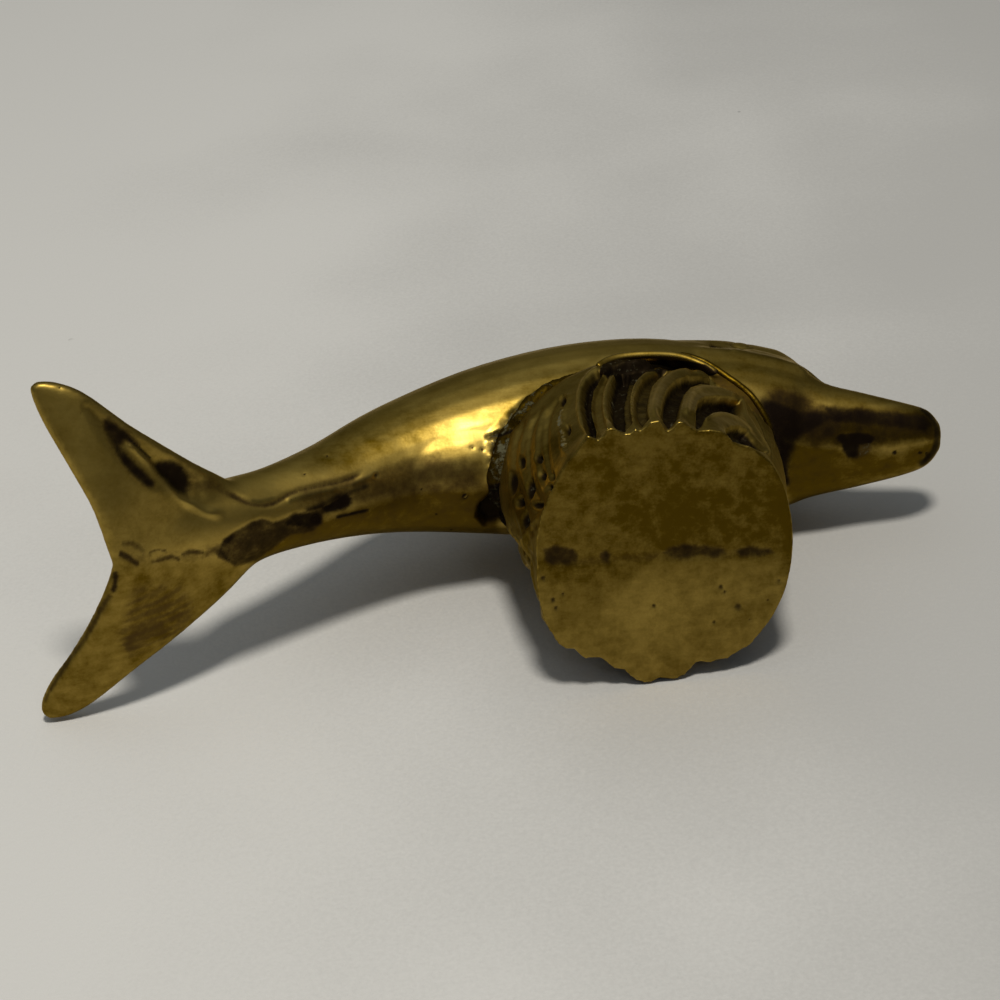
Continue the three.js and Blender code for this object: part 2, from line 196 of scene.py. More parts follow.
# The pockets between the ridges of the wave's right flank: depth in mm, how dark they are painted,
# as patina and painted shade, and their outline in pixels. The last one only paints shade on the way
# into the recess.
POCKETS = (
    (1.9, 1.0, ((589, 436), (585, 424), (582.5, 411), (582, 398), (584, 388), (588.5, 380), (594, 374.5),
                (600, 371), (602, 373), (597.5, 381), (592.5, 390), (590, 401), (590, 413), (593, 425),
                (597, 437))),
    (0.8, 0.35, ((599, 437), (594.5, 423), (592.5, 409), (593, 397), (597.5, 386), (603, 376.5),
                 (610, 372), (606, 381), (602.5, 391), (601, 404), (602.5, 417), (606, 429))),
    (2.4, 1.0, ((617, 429), (610.5, 419), (608, 408), (608.5, 396), (612, 384), (616, 376), (622, 371),
                (630, 372), (626, 384), (622, 398), (622, 414), (625, 431))),
    (1.6, 0.7, ((624, 430), (620, 414), (621, 398), (625, 382), (631, 371), (645, 370), (637, 378),
                (631.5, 387), (629, 398), (629, 410), (631, 424))),
    (1.6, 0.75, ((641, 427), (636.5, 419), (634.5, 408), (635, 397), (638, 388), (643, 380), (651, 374),
                 (662, 369.5), (668, 371), (659, 377), (651.5, 385), (648, 396), (646.5, 408),
                 (647.5, 419))),
    (2.2, 0.95, ((668, 428), (662.5, 417), (662.5, 406), (665, 396), (670, 387), (678, 379.5),
                 (689, 376), (703, 376), (716, 379), (727, 385.5), (735, 392), (727, 389.5),
                 (714, 385), (700, 382.5), (690, 386), (683, 394), (680, 405), (678, 417))),
    (2.4, 1.0, ((697, 428), (697, 412), (699, 402), (706, 397.5), (718, 396.5), (730, 398), (740, 401),
                (741, 408), (740, 415), (731, 412.5), (721, 410.5), (711, 412.5), (704, 418),
                (700, 426))),
    (1.8, 1.0, ((726, 437), (727, 431), (733, 427), (741, 427), (748, 431), (754, 437.5), (760, 444.5),
                (766, 452), (757, 449), (749, 445.5), (738, 442.5), (730, 441))),
    (1.9, 1.0, LIP_RECESS),
    (0.0, 1.0, ((598, 373), (604, 362), (620, 354), (650, 351), (690, 353), (714, 360), (721, 377),
                (712, 375), (700, 370), (680, 369), (655, 371), (630, 376), (612, 376))),
)
# Lines on the wave's flank: height in mm, half width, how dark they are painted (patina and painted
# shade in the grooves) and how bright (painted highlights along the crests), and their points in pixels
FLANK_LINES = (
    (0.35, 3.2, 0, 1.0, ((589, 436), (582, 424), (579, 411), (578.5, 398), (581, 387), (586, 378),
                         (593, 371), (601, 367))),
    (0.25, 2.4, 0, 0.8, ((612, 427), (606, 417), (604.5, 404), (606, 391), (610.5, 381), (615, 374))),
    (0.25, 1.8, 0, 0.7, ((635, 427), (632, 416), (631.5, 402), (634, 389), (640, 379), (650, 371.5))),
    (0.35, 5.0, 0, 0.8, ((654, 418), (654.5, 405), (657, 395), (662, 385), (669, 377), (679, 372),
                         (692, 371))),
    (0.25, 2.4, 0, 0.8, ((692, 371), (705, 373.5), (717, 377.5), (728, 384), (738, 393))),
    (0.35, 4.5, 0, 0.8, ((686, 419), (688, 405), (692, 395), (700, 389), (712, 388.5), (726, 391.5),
                         (737, 397))),
    (0.25, 3.0, 0, 0.7, ((703, 421), (711, 416), (722, 414), (733, 417), (744, 424), (753, 433))),
    (0.45, 2.6, 0, 1.0, ((740, 393), (743, 404), (746, 415), (752, 425), (759, 436), (766, 447),
                         (771, 459))),
    (-0.55, 2.2, 0.9, 0, ((740, 389), (748.5, 401), (757, 416), (764, 431), (769, 446), (772, 460))),
    (0.35, 2.6, 0, 0.8, ((719, 374), (733, 381), (746, 391), (757, 404), (766, 420), (771, 436),
                         (774, 452))),
    (-0.3, 1.7, 0.6, 0, ((736, 380), (749, 391), (761, 405), (770, 421), (776, 440))),
    (-0.4, 1.8, 0.7, 0, ((590, 432), (588, 415), (589, 400), (593, 387), (600, 376))),
)
# The lip of the wave where it meets the belly, on the right side, in mm
FRONT_LIP = (
    (9.5, -15.9, 40.3), (12.0, -15.3, 40.0), (14.0, -14.6, 38.9), (15.6, -13.8, 37.5),
    (17.0, -13.0, 36.5), (18.3, -12.2, 35.6), (19.7, -11.2, 34.8), (20.9, -10.0, 33.8),
    (21.9, -8.5, 32.9), (22.8, -6.8, 32.1), (23.4, -4.9, 31.5), (23.9, -2.7, 31.0), (24.2, 0.0, 30.9),
)
# Soft folds that the rear of the wave flows in: height in mm, half width and points in pixels
REAR_FOLDS = (
    (0.30, 4.5, ((569, 392), (567, 402), (563, 415), (562, 430), (563, 445), (566, 458))),
    (0.35, 4.5, ((551, 404), (541, 420), (537, 440), (537, 462), (541, 482), (548, 500))),
    (0.30, 4.0, ((534, 413), (525, 432), (521, 455), (524, 480), (531, 500), (539, 514))),
    (0.30, 4.0, ((518, 424), (512, 440), (509, 462), (511, 486), (517, 510), (525, 535), (535, 565))),
    (-0.35, 4.0, ((561, 396), (551, 412), (547, 430), (547, 450), (550, 470), (555, 484))),
    (-0.35, 3.5, ((543, 408), (533, 426), (529, 448), (530, 474), (536, 494), (544, 506))),
    (-0.35, 3.5, ((526, 418), (518, 440), (515, 462), (518, 488), (525, 512), (534, 540))),
    (0.30, 3.5, ((530, 560), (526, 545), (528, 530), (536, 520), (544, 515))),
    (0.30, 4.0, ((522, 560), (531, 580), (541, 603), (553, 628), (566, 645))),
    (-0.30, 3.5, ((528, 556), (537, 574), (547, 594))),
)
# The rough strip between the ridges and the folds, in pixels
ROUGH_STRIP = ((563, 408), (560, 418), (561, 430), (564, 441), (563, 450))
# The outline of the ground bottom, in pixels, round from the rear end of its seam
FOOT_OUTLINE = (
    (540, 566), (539, 548), (541, 530), (543, 518), (547, 505), (553, 490), (562, 471), (575, 453),
    (587, 435), (592, 437), (597, 439), (602, 435), (606, 428), (611, 426), (617, 428), (624, 432),
    (630, 431), (635, 426.5), (640, 428), (645, 424), (650, 419), (660, 417), (664, 425), (668, 428),
    (673, 425), (679, 418.5), (686, 420), (692, 425), (700, 428.5), (712, 428), (722, 430), (728, 433),
    (733, 440), (740, 444), (752, 448), (762, 456), (771.5, 466), (778.5, 480), (783.5, 495),
    (786.5, 512), (788.5, 530), (788.5, 550), (786.5, 570), (780.7, 593.7), (772, 613.7),
    (762, 629.2), (750, 644.4), (735, 654.5), (728, 659.7), (718, 661.3), (711.6, 664.7),
    (703, 663.7), (696, 665.1), (691, 671.4), (684.6, 678.1), (674, 682.4), (659, 681.7),
    (651, 685.7), (642, 685.7), (635.6, 683.2), (629, 678.1), (623, 672.2), (615, 671.4),
    (608.6, 666.3), (601, 659.7), (595, 658.7), (585, 659.7), (580, 656.2), (574, 649.4),
    (566, 648.7), (559.7, 644.4), (553, 634.3), (548, 624.1), (543, 608.7), (540, 588),
)
# The scallops of that outline fade out between these heights, in mm.
FOOT_FADE = (1.0, 7.0)


class FigurineSizes(bpy.types.PropertyGroup):
    """Sizes of the surface of the castings"""

    seam_width: FloatProperty(
        name="Seam Width",
        description="Width of the brazing metal between the right and the left castings",
        default=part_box("dolphin_seam_braze")[1].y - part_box("dolphin_seam_braze")[0].y,
        unit="LENGTH",
    )
    dolphin_voxel: FloatProperty(
        name="Dolphin Grain",
        description="Size of the faces of the dolphin's skin",
        default=0.38 * MM,
        unit="LENGTH",
    )
    wave_voxel: FloatProperty(
        name="Wave Grain",
        description="Size of the faces of the wave's skin",
        default=0.25 * MM,
        unit="LENGTH",
    )
    pocket_share: FloatProperty(
        name="Pocket Share",
        description="How deep the pockets of the wave are sunk, as a share of their usual depth",
        default=1.0,
        subtype="FACTOR",
    )


class BrassColours(bpy.types.PropertyGroup):
    """Colours of the brass and of what has settled on it"""

    satin: FloatVectorProperty(
        name="Satin Brass",
        description="Brass that hands keep clean",
        default=(0.398, 0.275, 0.060),
        subtype="COLOR",
    )
    olive: FloatVectorProperty(
        name="Olive Brass",
        description="Brass with a thin film of tarnish",
        default=(0.104, 0.062, 0.003),
        subtype="COLOR",
    )
    tarnish: FloatVectorProperty(
        name="Tarnish",
        description="Brown stains",
        default=(0.070, 0.041, 0.012),
        subtype="COLOR",
    )
    # This colour paints patina in grooves and pits, and painted shade in the recesses, gaps and hollows.
    patina_and_shade: FloatVectorProperty(
        name="Patina",
        description="Dark film in grooves and pits",
        default=(0.011, 0.007, 0.005),
        subtype="COLOR",
    )
    verdigris: FloatVectorProperty(
        name="Verdigris",
        description="Pale green crust in the crevices",
        default=(0.085, 0.080, 0.042),
        subtype="COLOR",
    )


class StudioSettings(bpy.types.PropertyGroup):
    """The cloth, the room and its lamps"""

    cloth: FloatVectorProperty(
        name="Cloth",
        description="Colour of the cloth under the figurine",
        default=(0.66, 0.645, 0.60),
        subtype="COLOR",
    )
    room_light: FloatProperty(
        name="Room Light",
        description="How bright the walls and the ceiling of the room are",
        default=0.40,
    )
    overhead_power: FloatProperty(
        name="Overhead Lamp",
        description="Power of the soft lamp over the cloth, which gives the highlight",
        default=15.6,
        unit="POWER",
    )
    window_power: FloatProperty(
        name="Window Lamp",
        description="Power of the weak lamp behind the camera",
        default=0.12,
        unit="POWER",
    )


def only(*pieces):
    """Selects these pieces and nothing else."""
    bpy.ops.object.select_all(action="DESELECT")
    for piece in pieces:
        piece.select_set(True)
    bpy.context.view_layer.objects.active = pieces[0]


def modify(piece, kind, **settings):
    """Adds a modifier with these settings and applies it."""
    only(piece)
    modifier = piece.modifiers.new(kind.title(), kind)
    for setting, value in settings.items():
        setattr(modifier, setting, value)
    bpy.ops.object.modifier_apply(modifier=modifier.name)


def joined(name, *pieces):
    only(*pieces)
    bpy.ops.object.join()
    piece = bpy.context.object
    piece.name = name
    return piece


def copied(piece, name):
    only(piece)
    bpy.ops.object.duplicate()
    twin = bpy.context.object
    twin.name = name
    return twin


def points_of(piece):
    """The vertices of a piece, in mm."""
    flat = np.empty(len(piece.data.vertices) * 3)
    piece.data.vertices.foreach_get("co", flat)
    return flat.reshape(-1, 3) / MM


def normals_of(piece):
    flat = np.empty(len(piece.data.vertices) * 3)
    piece.data.vertices.foreach_get("normal", flat)
    return flat.reshape(-1, 3)


def reshape(piece, points):
    """Moves the vertices of a piece to these points, in mm."""
    piece.data.vertices.foreach_set("co", (points * MM).ravel())
    piece.data.update()


def curve_through(points, count):
    """As many points as asked for along a smooth curve through a few."""
    points = np.array(points, float)
    before = 2 * points[:1] - points[1:2]
    after = 2 * points[-1:] - points[-2:-1]
    ends = np.vstack((before, points, after))
    places = np.linspace(0, len(points) - 1, count)
    runs = np.minimum(places.astype(int), len(points) - 2)
    t = (places - runs)[:, None]
    a, b, c, d = (ends[runs + i] for i in range(4))
    bend = 2 * a - 5 * b + 4 * c - d
    twist = 3 * (b - c) + d - a
    return 0.5 * (2 * b + (c - a) * t + bend * t**2 + twist * t**3)


def ring_pattern(name, count, fullness):
    """A ring of radius 1: fullness 1 is round, and less is squarer."""
    bpy.ops.object.select_all(action="DESELECT")
    bpy.ops.mesh.primitive_circle_add(vertices=count, radius=1)
    ring = bpy.context.object
    ring.name = name
    drawn = points_of(ring) * MM
    reshape(ring, np.sign(drawn) * np.abs(drawn) ** fullness / MM)
    return ring


def loft(name, rings, count, fullness=1.0):
    """A closed skin through rings: each has a middle, two directions and two half sizes."""
    pattern = ring_pattern(name, count, fullness)
    circles = []
    for middle, across, upward, half_across, half_up in rings:
        circle = copied(pattern, name)
        turn = Matrix((across, upward, across.cross(upward))).transposed()
        circle.location = middle * MM
        circle.rotation_euler = turn.to_euler()
        circle.scale = (half_across * MM, half_up * MM, 1)
        circles.append(circle)
    bpy.data.objects.remove(pattern)
    piece = joined(name, *circles)
    bpy.ops.object.transform_apply(location=True, rotation=True, scale=True)
    bpy.ops.object.mode_set(mode="EDIT")
    bpy.ops.mesh.select_all(action="SELECT")
    bpy.ops.mesh.bridge_edge_loops()
    bpy.ops.mesh.select_all(action="DESELECT")
    bpy.ops.mesh.select_non_manifold()
    bpy.ops.mesh.edge_face_add()
    bpy.ops.mesh.select_all(action="SELECT")
    bpy.ops.mesh.normals_make_consistent(inside=False)
    bpy.ops.object.mode_set(mode="OBJECT")
    return piece


def body_loft():
    """The dolphin's body without its flukes and fins."""
    rings = []
    sections = curve_through(BODY_SECTIONS, BODY_RINGS)
    slopes = np.gradient(sections[:, :2], axis=0)
    for (x, z, side, above, below), (run, rise) in zip(sections, slopes):
        along = Vector((run, 0, rise)).normalized()
        upward = Vector((-along.z, 0, along.x))
        middle = Vector((x, 0, z)) + upward * (above - below) / 2
        rings.append((middle, Vector((0, 1, 0)), upward, side, (above + below) / 2))
    return loft("body", rings, BODY_RING_POINTS)


def fin_loft(name, leading, trailing, thickness, fullness):
    """A fin between a leading and a trailing edge, from its root to its tip."""
    fronts = curve_through(leading, FIN_RINGS)
    backs = curve_through(trailing, FIN_RINGS)
    outward = np.gradient(fronts + backs, axis=0)
    rings = []
    for i, (front, back) in enumerate(zip(fronts, backs)):
        chord = Vector(back - front)
        across = chord.normalized()
        thin_way = chord.cross(Vector(outward[i])).normalized()
        share = i / (FIN_RINGS - 1)
        thick = thickness[0] + (thickness[1] - thickness[0]) * share
        rings.append((Vector(front + back) / 2, across, thin_way, chord.length / 2, thick / 2))
    return loft(name, rings, FIN_RING_POINTS, fullness)


def in_picture(points):
    """Where the camera sees points given in mm, in pixels."""
    offsets = points * MM - np.array(CAMERA_PLACE)
    depth = offsets @ np.array(PICTURE_AHEAD)
    right = offsets @ np.array(PICTURE_RIGHT)
    down = offsets @ np.array(PICTURE_DOWN)
    return PICTURE_SIZE / 2 + FOCAL_PIXELS * np.column_stack((right, down)) / depth[:, None]


def smooth_step(values, low, high):
    """0 up to low, 1 from high on, and a smooth rise between them."""
    share = np.clip((values - low) / (high - low), 0, 1)
    return share * share * (3 - 2 * share)


def facing_camera(piece):
    """1 where a piece faces the camera, 0 where it faces away."""
    ways = np.array(CAMERA_PLACE) - points_of(piece) * MM
    ways /= np.linalg.norm(ways, axis=1)[:, None]
    return smooth_step((ways * normals_of(piece)).sum(axis=1), 0.0, 0.12)


def seen_from_right(points):
    """Where the camera would see points of either flank if they lay on the right one."""
    return in_picture(np.column_stack((points[:, 0], -np.abs(points[:, 1]), points[:, 2])))


def beside_line(points, line):
    """How far points lie from a line, and how far along it their nearest places lie, 0 to 1."""
    nearest = np.full(len(points), np.inf)
    along = np.zeros(len(points))
    runs = len(line) - 1
    for i, (start, end) in enumerate(zip(line[:-1], line[1:])):
        run = end - start
        share = np.clip((points - start) @ run / max(run @ run, 1e-9), 0, 1)
        distance = np.linalg.norm(points - start - share[:, None] * run, axis=1)
        closer = distance < nearest
        nearest[closer] = distance[closer]
        along[closer] = (i + share[closer]) / runs
    return nearest, along


def near_line(points, line, reach):
    """Which points lie in the box round a line, grown by a reach."""
    return ((points > line.min(axis=0) - reach) & (points < line.max(axis=0) + reach)).all(axis=1)


def stroke(points, line, half_widths):
    """1 along a line, falling to 0 at its half width and its ends. The width may change."""
    line = curve_through(line, 4 * len(line))
    if not isinstance(half_widths, tuple):
        half_widths = (half_widths, half_widths)
    start_width, end_width = half_widths
    near = near_line(points, line, max(half_widths))
    distance, along = beside_line(points[near], line)
    width = start_width + (end_width - start_width) * along
    mask = np.zeros(len(points))
    ends = smooth_step(np.minimum(along, 1 - along), 0, 0.1)
    mask[near] = (1 - smooth_step(distance / width, 0, 1)) * ends
    return mask


def patch(points, outline, fade):
    """1 inside an outline, falling to 0 over the fade."""
    corners = np.array(outline, float)
    near = near_line(points, corners, fade)
    close = points[near]
    inside = np.zeros(len(close), bool)
    for (x0, y0), (x1, y1) in zip(corners, np.roll(corners, -1, axis=0)):
        if y0 != y1:
            between = (y0 > close[:, 1]) != (y1 > close[:, 1])
            crossing = x0 + (close[:, 1] - y0) * (x1 - x0) / (y1 - y0)
            inside ^= between & (close[:, 0] < crossing)
    distance, _along = beside_line(close, np.vstack((corners, corners[:1])))
    mask = np.zeros(len(points))
    mask[near] = smooth_step(np.where(inside, distance, -distance), -fade / 2, fade / 2)
    return mask


def dent(points, centre, half_width, half_height=None):
    """1 in the middle of an oval, falling to 0 at its rim."""
    reach = np.array((half_width, half_height or half_width))
    distance = np.linalg.norm((points - np.array(centre, float)) / reach, axis=1)
    return np.clip(1 - distance**2, 0, 1) ** 1.5


def weigh(piece, name, weights):
    """Gives a piece a vertex group with these weights."""
    group = piece.vertex_groups.new(name=name)
    for i in np.flatnonzero(weights > 0.001):
        group.add([int(i)], float(weights[i]), "REPLACE")
    return group


def lift(piece, heights):
    """Moves the skin of a piece out or in along its normals, by heights in mm."""
    for way in (1, -1):
        reach = (way * heights).max()
        if reach > 0:
            group = weigh(piece, "lift", np.clip(way * heights / reach, 0, 1))
            modify(piece, "DISPLACE", vertex_group=group.name, mid_level=0, strength=way * reach * MM)
            piece.vertex_groups.remove(piece.vertex_groups["lift"])


def make_lumpy(piece, grain, height, **settings):
    """Makes the skin of a piece lumpy. Grain and height are in mm."""
    texture = bpy.data.textures.new(piece.name + "_lumps", "CLOUDS")
    texture.noise_scale = grain * MM
    texture.noise_depth = 3
    modify(
        piece, "DISPLACE", texture=texture, texture_coords="LOCAL", mid_level=0.5,
        strength=height * MM, **settings,
    )


def roughen(piece, weights, grain, height):
    """Makes the skin of a piece lumpy where the weights say."""
    group = weigh(piece, "rough", weights)
    make_lumpy(piece, grain, height, vertex_group=group.name)
    piece.vertex_groups.remove(piece.vertex_groups["rough"])


def relax(piece, weights, steps):
    """Smooths the skin of a piece where the weights say."""
    group = weigh(piece, "relax", weights)
    modify(piece, "SMOOTH", factor=0.5, iterations=steps, vertex_group=group.name)
    piece.vertex_groups.remove(piece.vertex_groups["relax"])


def paint(piece, layer, weights):
    """Lays one layer of the finish over a piece, as a mask from 0 to 1."""
    mask = piece.data.attributes.new(layer, "FLOAT", "POINT")
    mask.data.foreach_set("value", np.clip(weights, 0, 1).astype(np.float32))


CRISP_ANGLE = math.radians(60)


def smooth_skin(piece):
    """Smooth faces that meet in a crisp edge only at the cuts and at the ground bottom."""
    only(piece)
    bpy.ops.object.shade_smooth_by_angle(angle=CRISP_ANGLE)


def kept_between(piece, name, low_y, high_y):
    """A copy of what a piece has between two planes across Y, closed where it is cut."""
    part = copied(piece, name)
    bpy.ops.object.mode_set(mode="EDIT")
    for place, way in ((low_y, -1), (high_y, 1)):
        if place is not None:
            bpy.ops.mesh.select_all(action="SELECT")
            bpy.ops.mesh.bisect(
                plane_co=(0, place, 0), plane_no=(0, way, 0), use_fill=True, clear_outer=True
            )
    bpy.ops.object.mode_set(mode="OBJECT")
    smooth_skin(part)
    return part


def place_piece(piece, material, slot, *nodes):
    """Finishes a piece: its material, what it rides on and what it stands for."""
    piece.data.materials.clear()
    piece.data.materials.append(material)
    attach(piece, BODY)
    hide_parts(*nodes)


def split_castings(skin, prefix, material, slot):
    """Parts a skin into its right casting, its left casting and the seam between them."""
    half_seam = bpy.context.scene.figurine_sizes.seam_width / 2
    for part, low_y, high_y, part_slot in (
        ("right_half", None, -half_seam, slot),
        ("left_half", half_seam, None, slot),
        ("seam_braze", -half_seam, half_seam, "braze_metal"),
    ):
        node_name = f"{prefix}_{part}"
        piece = kept_between(skin, node_name + "_finish", low_y, high_y)
        place_piece(piece, material, part_slot, node_name)
    bpy.data.objects.remove(skin)


# Brass stays yellow where it is seen at a slant
EDGE_TINT = (0.89, 0.77, 0.52, 1.0)
# The layers of the finish, each a mask over a piece. Besides patina, stains and film, the dark layer
# also holds painted shade, and the layer that brightens and clears the brass holds painted highlights.
LAYERS = ("dark", "stain", "verdigris", "shine", "dull", "swirl")

# What the photograph shows on the dolphin, in its pixels. Each line and patch has its points,
# the half width of the line or the fade of the patch, its height in mm, and how strongly it
# marks each layer of the finish. Among these marks are painted shade and painted highlights.
CRUST_OUTLINE = (
    (488, 436), (500, 424), (514, 410), (530, 398), (550, 388), (575, 378), (575, 470), (486, 480),
)
BODY_LINES = (
    # The soft rib in the valley of the right lobe and its bright crest, both with painted highlights,
    # and the dark lines beside it
    (((126, 440), (138, 452), (150, 465), (163, 479), (175, 491), (190, 503), (206, 511), (226, 515)),
     (7, 9), 0.4, {"shine": 0.5}),
    (((129, 443), (136, 449), (146, 459), (158, 472), (168, 484), (176, 493)), (1.8, 2.4), 0.12,
     {"shine": 1.0}),
    (((128, 437), (136, 444), (146, 453), (155, 461)), 3.5, -0.1, {"dark": 0.9}),
    (((190, 480), (204, 484), (220, 490), (234, 497)), (10, 6), 0, {"stain": 0.6, "dark": 0.3}),
    (((86, 419), (94, 424), (102, 428)), 5, 0, {"stain": 0.5}),
    # The folds along the tail stock, with painted highlights along their crests
    (((224, 492), (236, 497), (250, 503.5), (264, 505.5), (277, 502), (290, 494), (312, 488),
      (334, 484), (352, 478), (368, 470)), (6, 4.5), -0.14, {"stain": 0.95, "dark": 0.6}),
    (((250, 499.5), (258, 501), (266, 500), (277, 498)), 4, 0, {"shine": 0.8}),
    (((286, 502), (300, 497), (320, 493), (340, 489)), 7, 0.10, {"shine": 1.0}),
    (((350, 486), (360, 482), (372, 477), (380, 473)), 6, 0.08, {"shine": 1.0}),
    (((334, 518), (346, 515), (358, 512.5), (372, 509.5)), 3.4, -0.06, {"dark": 0.9, "stain": 0.9}),
    (((300, 512), (320, 506), (338, 497), (356, 490), (376, 483)), (9, 6), 0,
     {"stain": 0.9, "dark": 0.75}),
    (((370, 510), (388, 505), (408, 500), (424, 497)), 4, -0.05, {"stain": 0.5}),
    # The bevel along the left lobe's trailing edge
    (((113, 592), (104, 603), (88, 632), (67, 661), (49, 690), (41, 706)), (8, 5), -0.25,
     {"stain": 0.95, "dark": 0.35}),
    (((114, 570), (115, 582), (112, 594)), 7, -0.25, {"stain": 1.0, "dark": 0.75}),
    # The stained seam between the lobes
    (((118, 554), (124, 555), (132, 560), (140, 566)), 6, -0.12, {"stain": 1.0, "dark": 0.6}),
    (((120, 544), (130, 543), (140, 548), (146, 555)), 6, 0, {"stain": 0.7}),
    (((148, 554), (157, 550), (168, 551)), 3.2, -0.05, {"stain": 0.9, "dark": 0.3}),
    (((150, 563), (162, 560), (172, 557), (182, 561)), 4.5, -0.08, {"stain": 1.0, "dark": 0.4}),
    (((180, 556), (192, 552), (206, 553)), 5, -0.08, {"stain": 1.0, "dark": 0.4}),
    (((204, 556), (214, 550), (226, 544)), 6, -0.05, {"stain": 0.9, "dark": 0.2}),
    (((120, 560), (160, 558), (200, 556), (222, 552)), 9, 0, {"stain": 0.42}),
    # The dark band round the tip of the beak: painted shadow of the mouth groove on its front edge
    (((916, 404), (928, 413), (936, 424), (938, 436), (936, 448), (928, 460), (914, 468)), 7.5, -0.15,
     {"dark": 1.0}),
    # The hollow on the far side of the brow, darkened with painted shade and a stain, the bright crest
    # below it with a painted highlight, and a nick in the beak
    (((706, 346), (722, 344.5), (740, 344.5), (756, 346), (770, 350)), 4.5, -0.3,
     {"dark": 0.8, "stain": 1.0}),
    (((728, 352), (744, 350.5), (760, 352), (776, 356.5), (790, 362), (803, 370)), 4.0, 0.18,
     {"shine": 0.7}),
    (((925, 462), (928, 457), (926, 452)), 3, -0.3, {"dark": 0.8}),
    # The edge of the crust where the wave was brazed on
    (((486, 438), (496, 435.5), (508, 432), (520, 429)), 5, -0.5, {"dark": 1.0}),
    (((500, 437), (497, 446), (493, 456)), 4.5, -0.4, {"dark": 1.0}),
    (((500, 440), (508, 427), (518, 414), (530, 402), (545, 397), (564, 390)), 7, 0.3,
     {"verdigris": 0.5, "stain": 0.6}),
)
